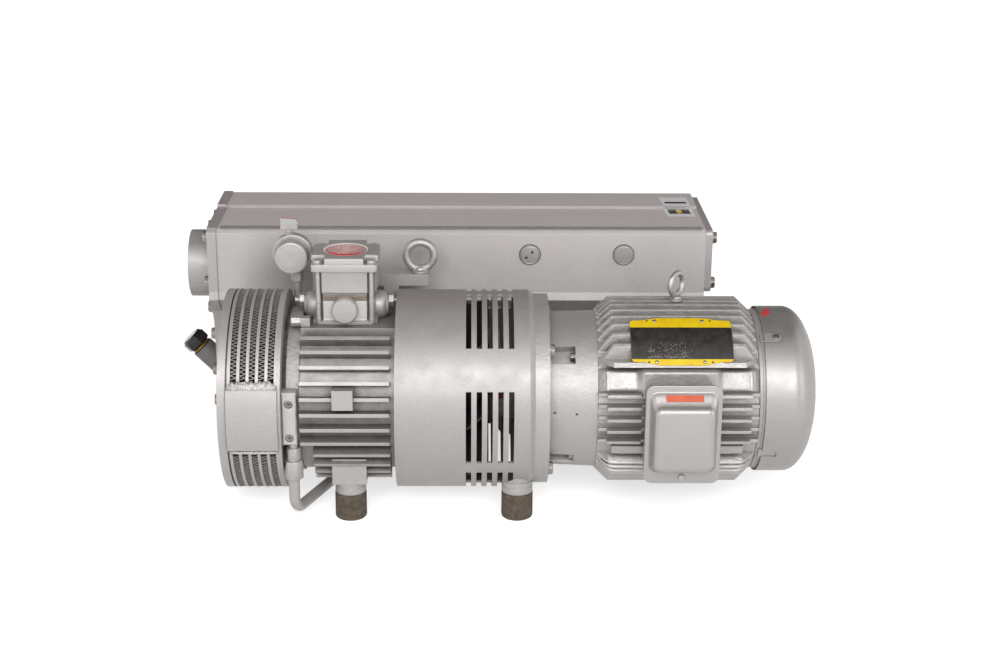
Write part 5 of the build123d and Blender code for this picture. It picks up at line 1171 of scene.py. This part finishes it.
# Ribs round the motor barrel's lower front, the full ones with their ends ramped as the fins above
def lower_ribs():
    shape = Shape()
    for turn, inset, most, half in ((-20.5, 26, 129.6, 1.0), (-26.5, 30, 129.2, 1.0), (-34, 0.3, 133.5, 1.7),
                                    (-38.5, 0.3, 134.5, 1.7), (-43.5, 0.3, 135, 1.7)):
        left, right = barrel_left + inset, barrel_right - inset
        full = inset < 1
        ways = [left + depth for depth in (0, 1.5, 6, 14, 20, 25)]
        rings = []
        for x in ways + [left + right - way for way in reversed(ways)]:
            end = min(x - left, right - x)
            top = soft_least([117 + 20 * end / 21 if full else most - 2 + 2 * min(1, end / 1.5), most], 60)
            section = ((-half - 0.4, barrel_r), (half + 0.4, barrel_r), (half, top - 1), (half * 0.5, top),
                       (-half * 0.5, top), (-half, top - 1))
            rings.append([shaft_point(x, radius, radians(turn) + side / radius) for side, radius in section])
        shape.loft(rings)
    shape.make("lower_ribs", "painted_iron", material=finishes["painted_iron"])


# Terminal box behind its lid: side walls, a top that falls away and a floor with the conduit's hole
def terminal_box():
    start, end = low("terminal_box") / mm, high("terminal_box") / mm
    wall, conduit_r, fall = 4, 17, 22
    front, back, foot, top = start.y, end.y, start.z, end.z - 2
    side = [(front, foot + wall), (back, foot + wall), (back, top - fall), (front, top)]
    roof = [(front, top - wall), (back, top - fall - wall), (back, top - fall), (front, top)]
    shape = Shape()
    for left, right, outline in ((start.x, start.x + wall, side), (end.x - wall, end.x, side),
                                 (start.x + 0.5, end.x - 0.5, roof)):
        shape.loft([[(x, y, z) for y, z in outline] for x in (left, right)])
    width, depth, _ = extent("terminal_box")
    shape.loft(turned([(conduit_r, 0), (conduit_r, wall)], outline_steps)
               + [square_ring(width, depth, height) for height in (wall, 0)],
               place(foot_of(*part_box("terminal_box"))), closed=True)
    shape.make("terminal_box_shell", "painted_casting", nodes=["terminal_box"],
               material=finishes["painted_iron"])


for build in (inlet, shield_rim, cover_screws, bell_holes, barrel_band, lower_ribs, terminal_box,
              separator_seam, folded_fins, header_welds, eye_bolts, oil_pipe, manifold_screws, hexagon_bolts,
              tie_rods, filler_cap, data_plate, terminal_lid, inlet_plug, separator_plugs, ballast_filter,
              ballast_lever, feet, turning_arrow, separator_label, inlet_lining):
    build()

# Camera at the photograph's view
camera_data = bpy.data.cameras.new("camera")
camera = add_object("camera", camera_data)
bpy.context.scene.camera = camera
camera_data.lens = 63.23
camera_data.sensor_width = 36
pitch, yaw, roll = radians(18.71), radians(1.02), radians(0.42)
forward = Vector((sin(yaw) * cos(pitch), cos(yaw) * cos(pitch), -sin(pitch)))
level_right = forward.cross(Vector((0, 0, 1))).normalized()
level_up = level_right.cross(forward)
camera_right = level_right * cos(roll) + level_up * sin(roll)
camera_up = level_up * cos(roll) - level_right * sin(roll)
turn_to_view = Matrix((camera_right, camera_up, -forward)).transposed().to_4x4()
camera.matrix_world = Matrix.Translation((-0.022, -2.50305, 1.08519)) @ turn_to_view


# Lamps, floor and background
def area_light(name, spot, target, size, power):
    data = bpy.data.lights.new(name, "AREA")
    data.shape = "RECTANGLE"
    data.size, data.size_y = size
    data.energy = power
    lamp = add_object(name, data)
    lamp.location = spot
    lamp.rotation_euler = (Vector(target) - Vector(spot)).to_track_quat("-Z", "Y").to_euler()


object_middle = (0, -0.05, 0.18)
area_light("front_box", (0.1, -2.4, 1.6), object_middle, (2.6, 1.0), 53)
area_light("left_box", (-2.4, -1.3, 0.8), object_middle, (0.7, 1.3), 5)
area_light("right_box", (2.5, -1.0, 0.9), object_middle, (0.7, 1.3), 9)


def stage_sheet(name, corners, graph):
    """A flat sheet of the stage, which isn't part of the object."""
    mesh = bpy.data.meshes.new(name)
    mesh.from_pydata(corners, [], [(0, 1, 2, 3)])
    mesh.materials.append(graph.material)
    made = add_object(name, mesh)
    return made


def card(name, near, far, grey):
    """A grey card out of the camera's view, which the paint shows as a darker reflection."""
    graph = Graph(name)
    graph.set(Base_Color=(grey, grey, grey, 1), Roughness=1)
    made = stage_sheet(name, [(-3, *near), (3, *near), (3, *far), (-3, *far)], graph)
    made.visible_camera = False
    made.visible_diffuse = False
    made.visible_shadow = False


card("card_behind", (2.4, 0.45), (2.2, 3.2), 0.1)
card("card_above", (-1.0, 3.6), (2.2, 3.2), 0.1)

white = (1, 1, 1, 1)
world = bpy.data.worlds.new("studio")
bpy.context.scene.world = world
world.use_nodes = True
sky = Nodes(world.node_tree)
background = world.node_tree.nodes["Background"]
background.inputs["Color"].default_value = white
sky.put(sky.ramp(sky.seen(), 0, 1, 0.34, 1.0), background.inputs["Strength"])

floor = Graph("white_floor")
floor_spot = floor.node("ShaderNodeNewGeometry").outputs["Position"]
distance = floor.node("ShaderNodeVectorMath", {0: floor_spot}, operation="LENGTH").outputs["Value"]
camera_ray = floor.node("ShaderNodeLightPath").outputs["Is Camera Ray"]
near_glow = floor.ramp(camera_ray, 0, 1, 0.42, 0.66)
glow = floor.times(floor.seen(), floor.ramp(distance, 0.5, 2.5, near_glow, 0.9))
floor.set(Base_Color=(0.82, 0.82, 0.82, 1), Roughness=1, Specular_IOR_Level=0, Emission_Color=white,
          Emission_Strength=glow)
half = 9
stage_sheet("floor", [(-half, -half, 0), (half, -half, 0), (half, half, 0), (-half, half, 0)], floor)

bpy.context.scene.view_settings.view_transform = "Standard"

bpy.context.view_layer.update()
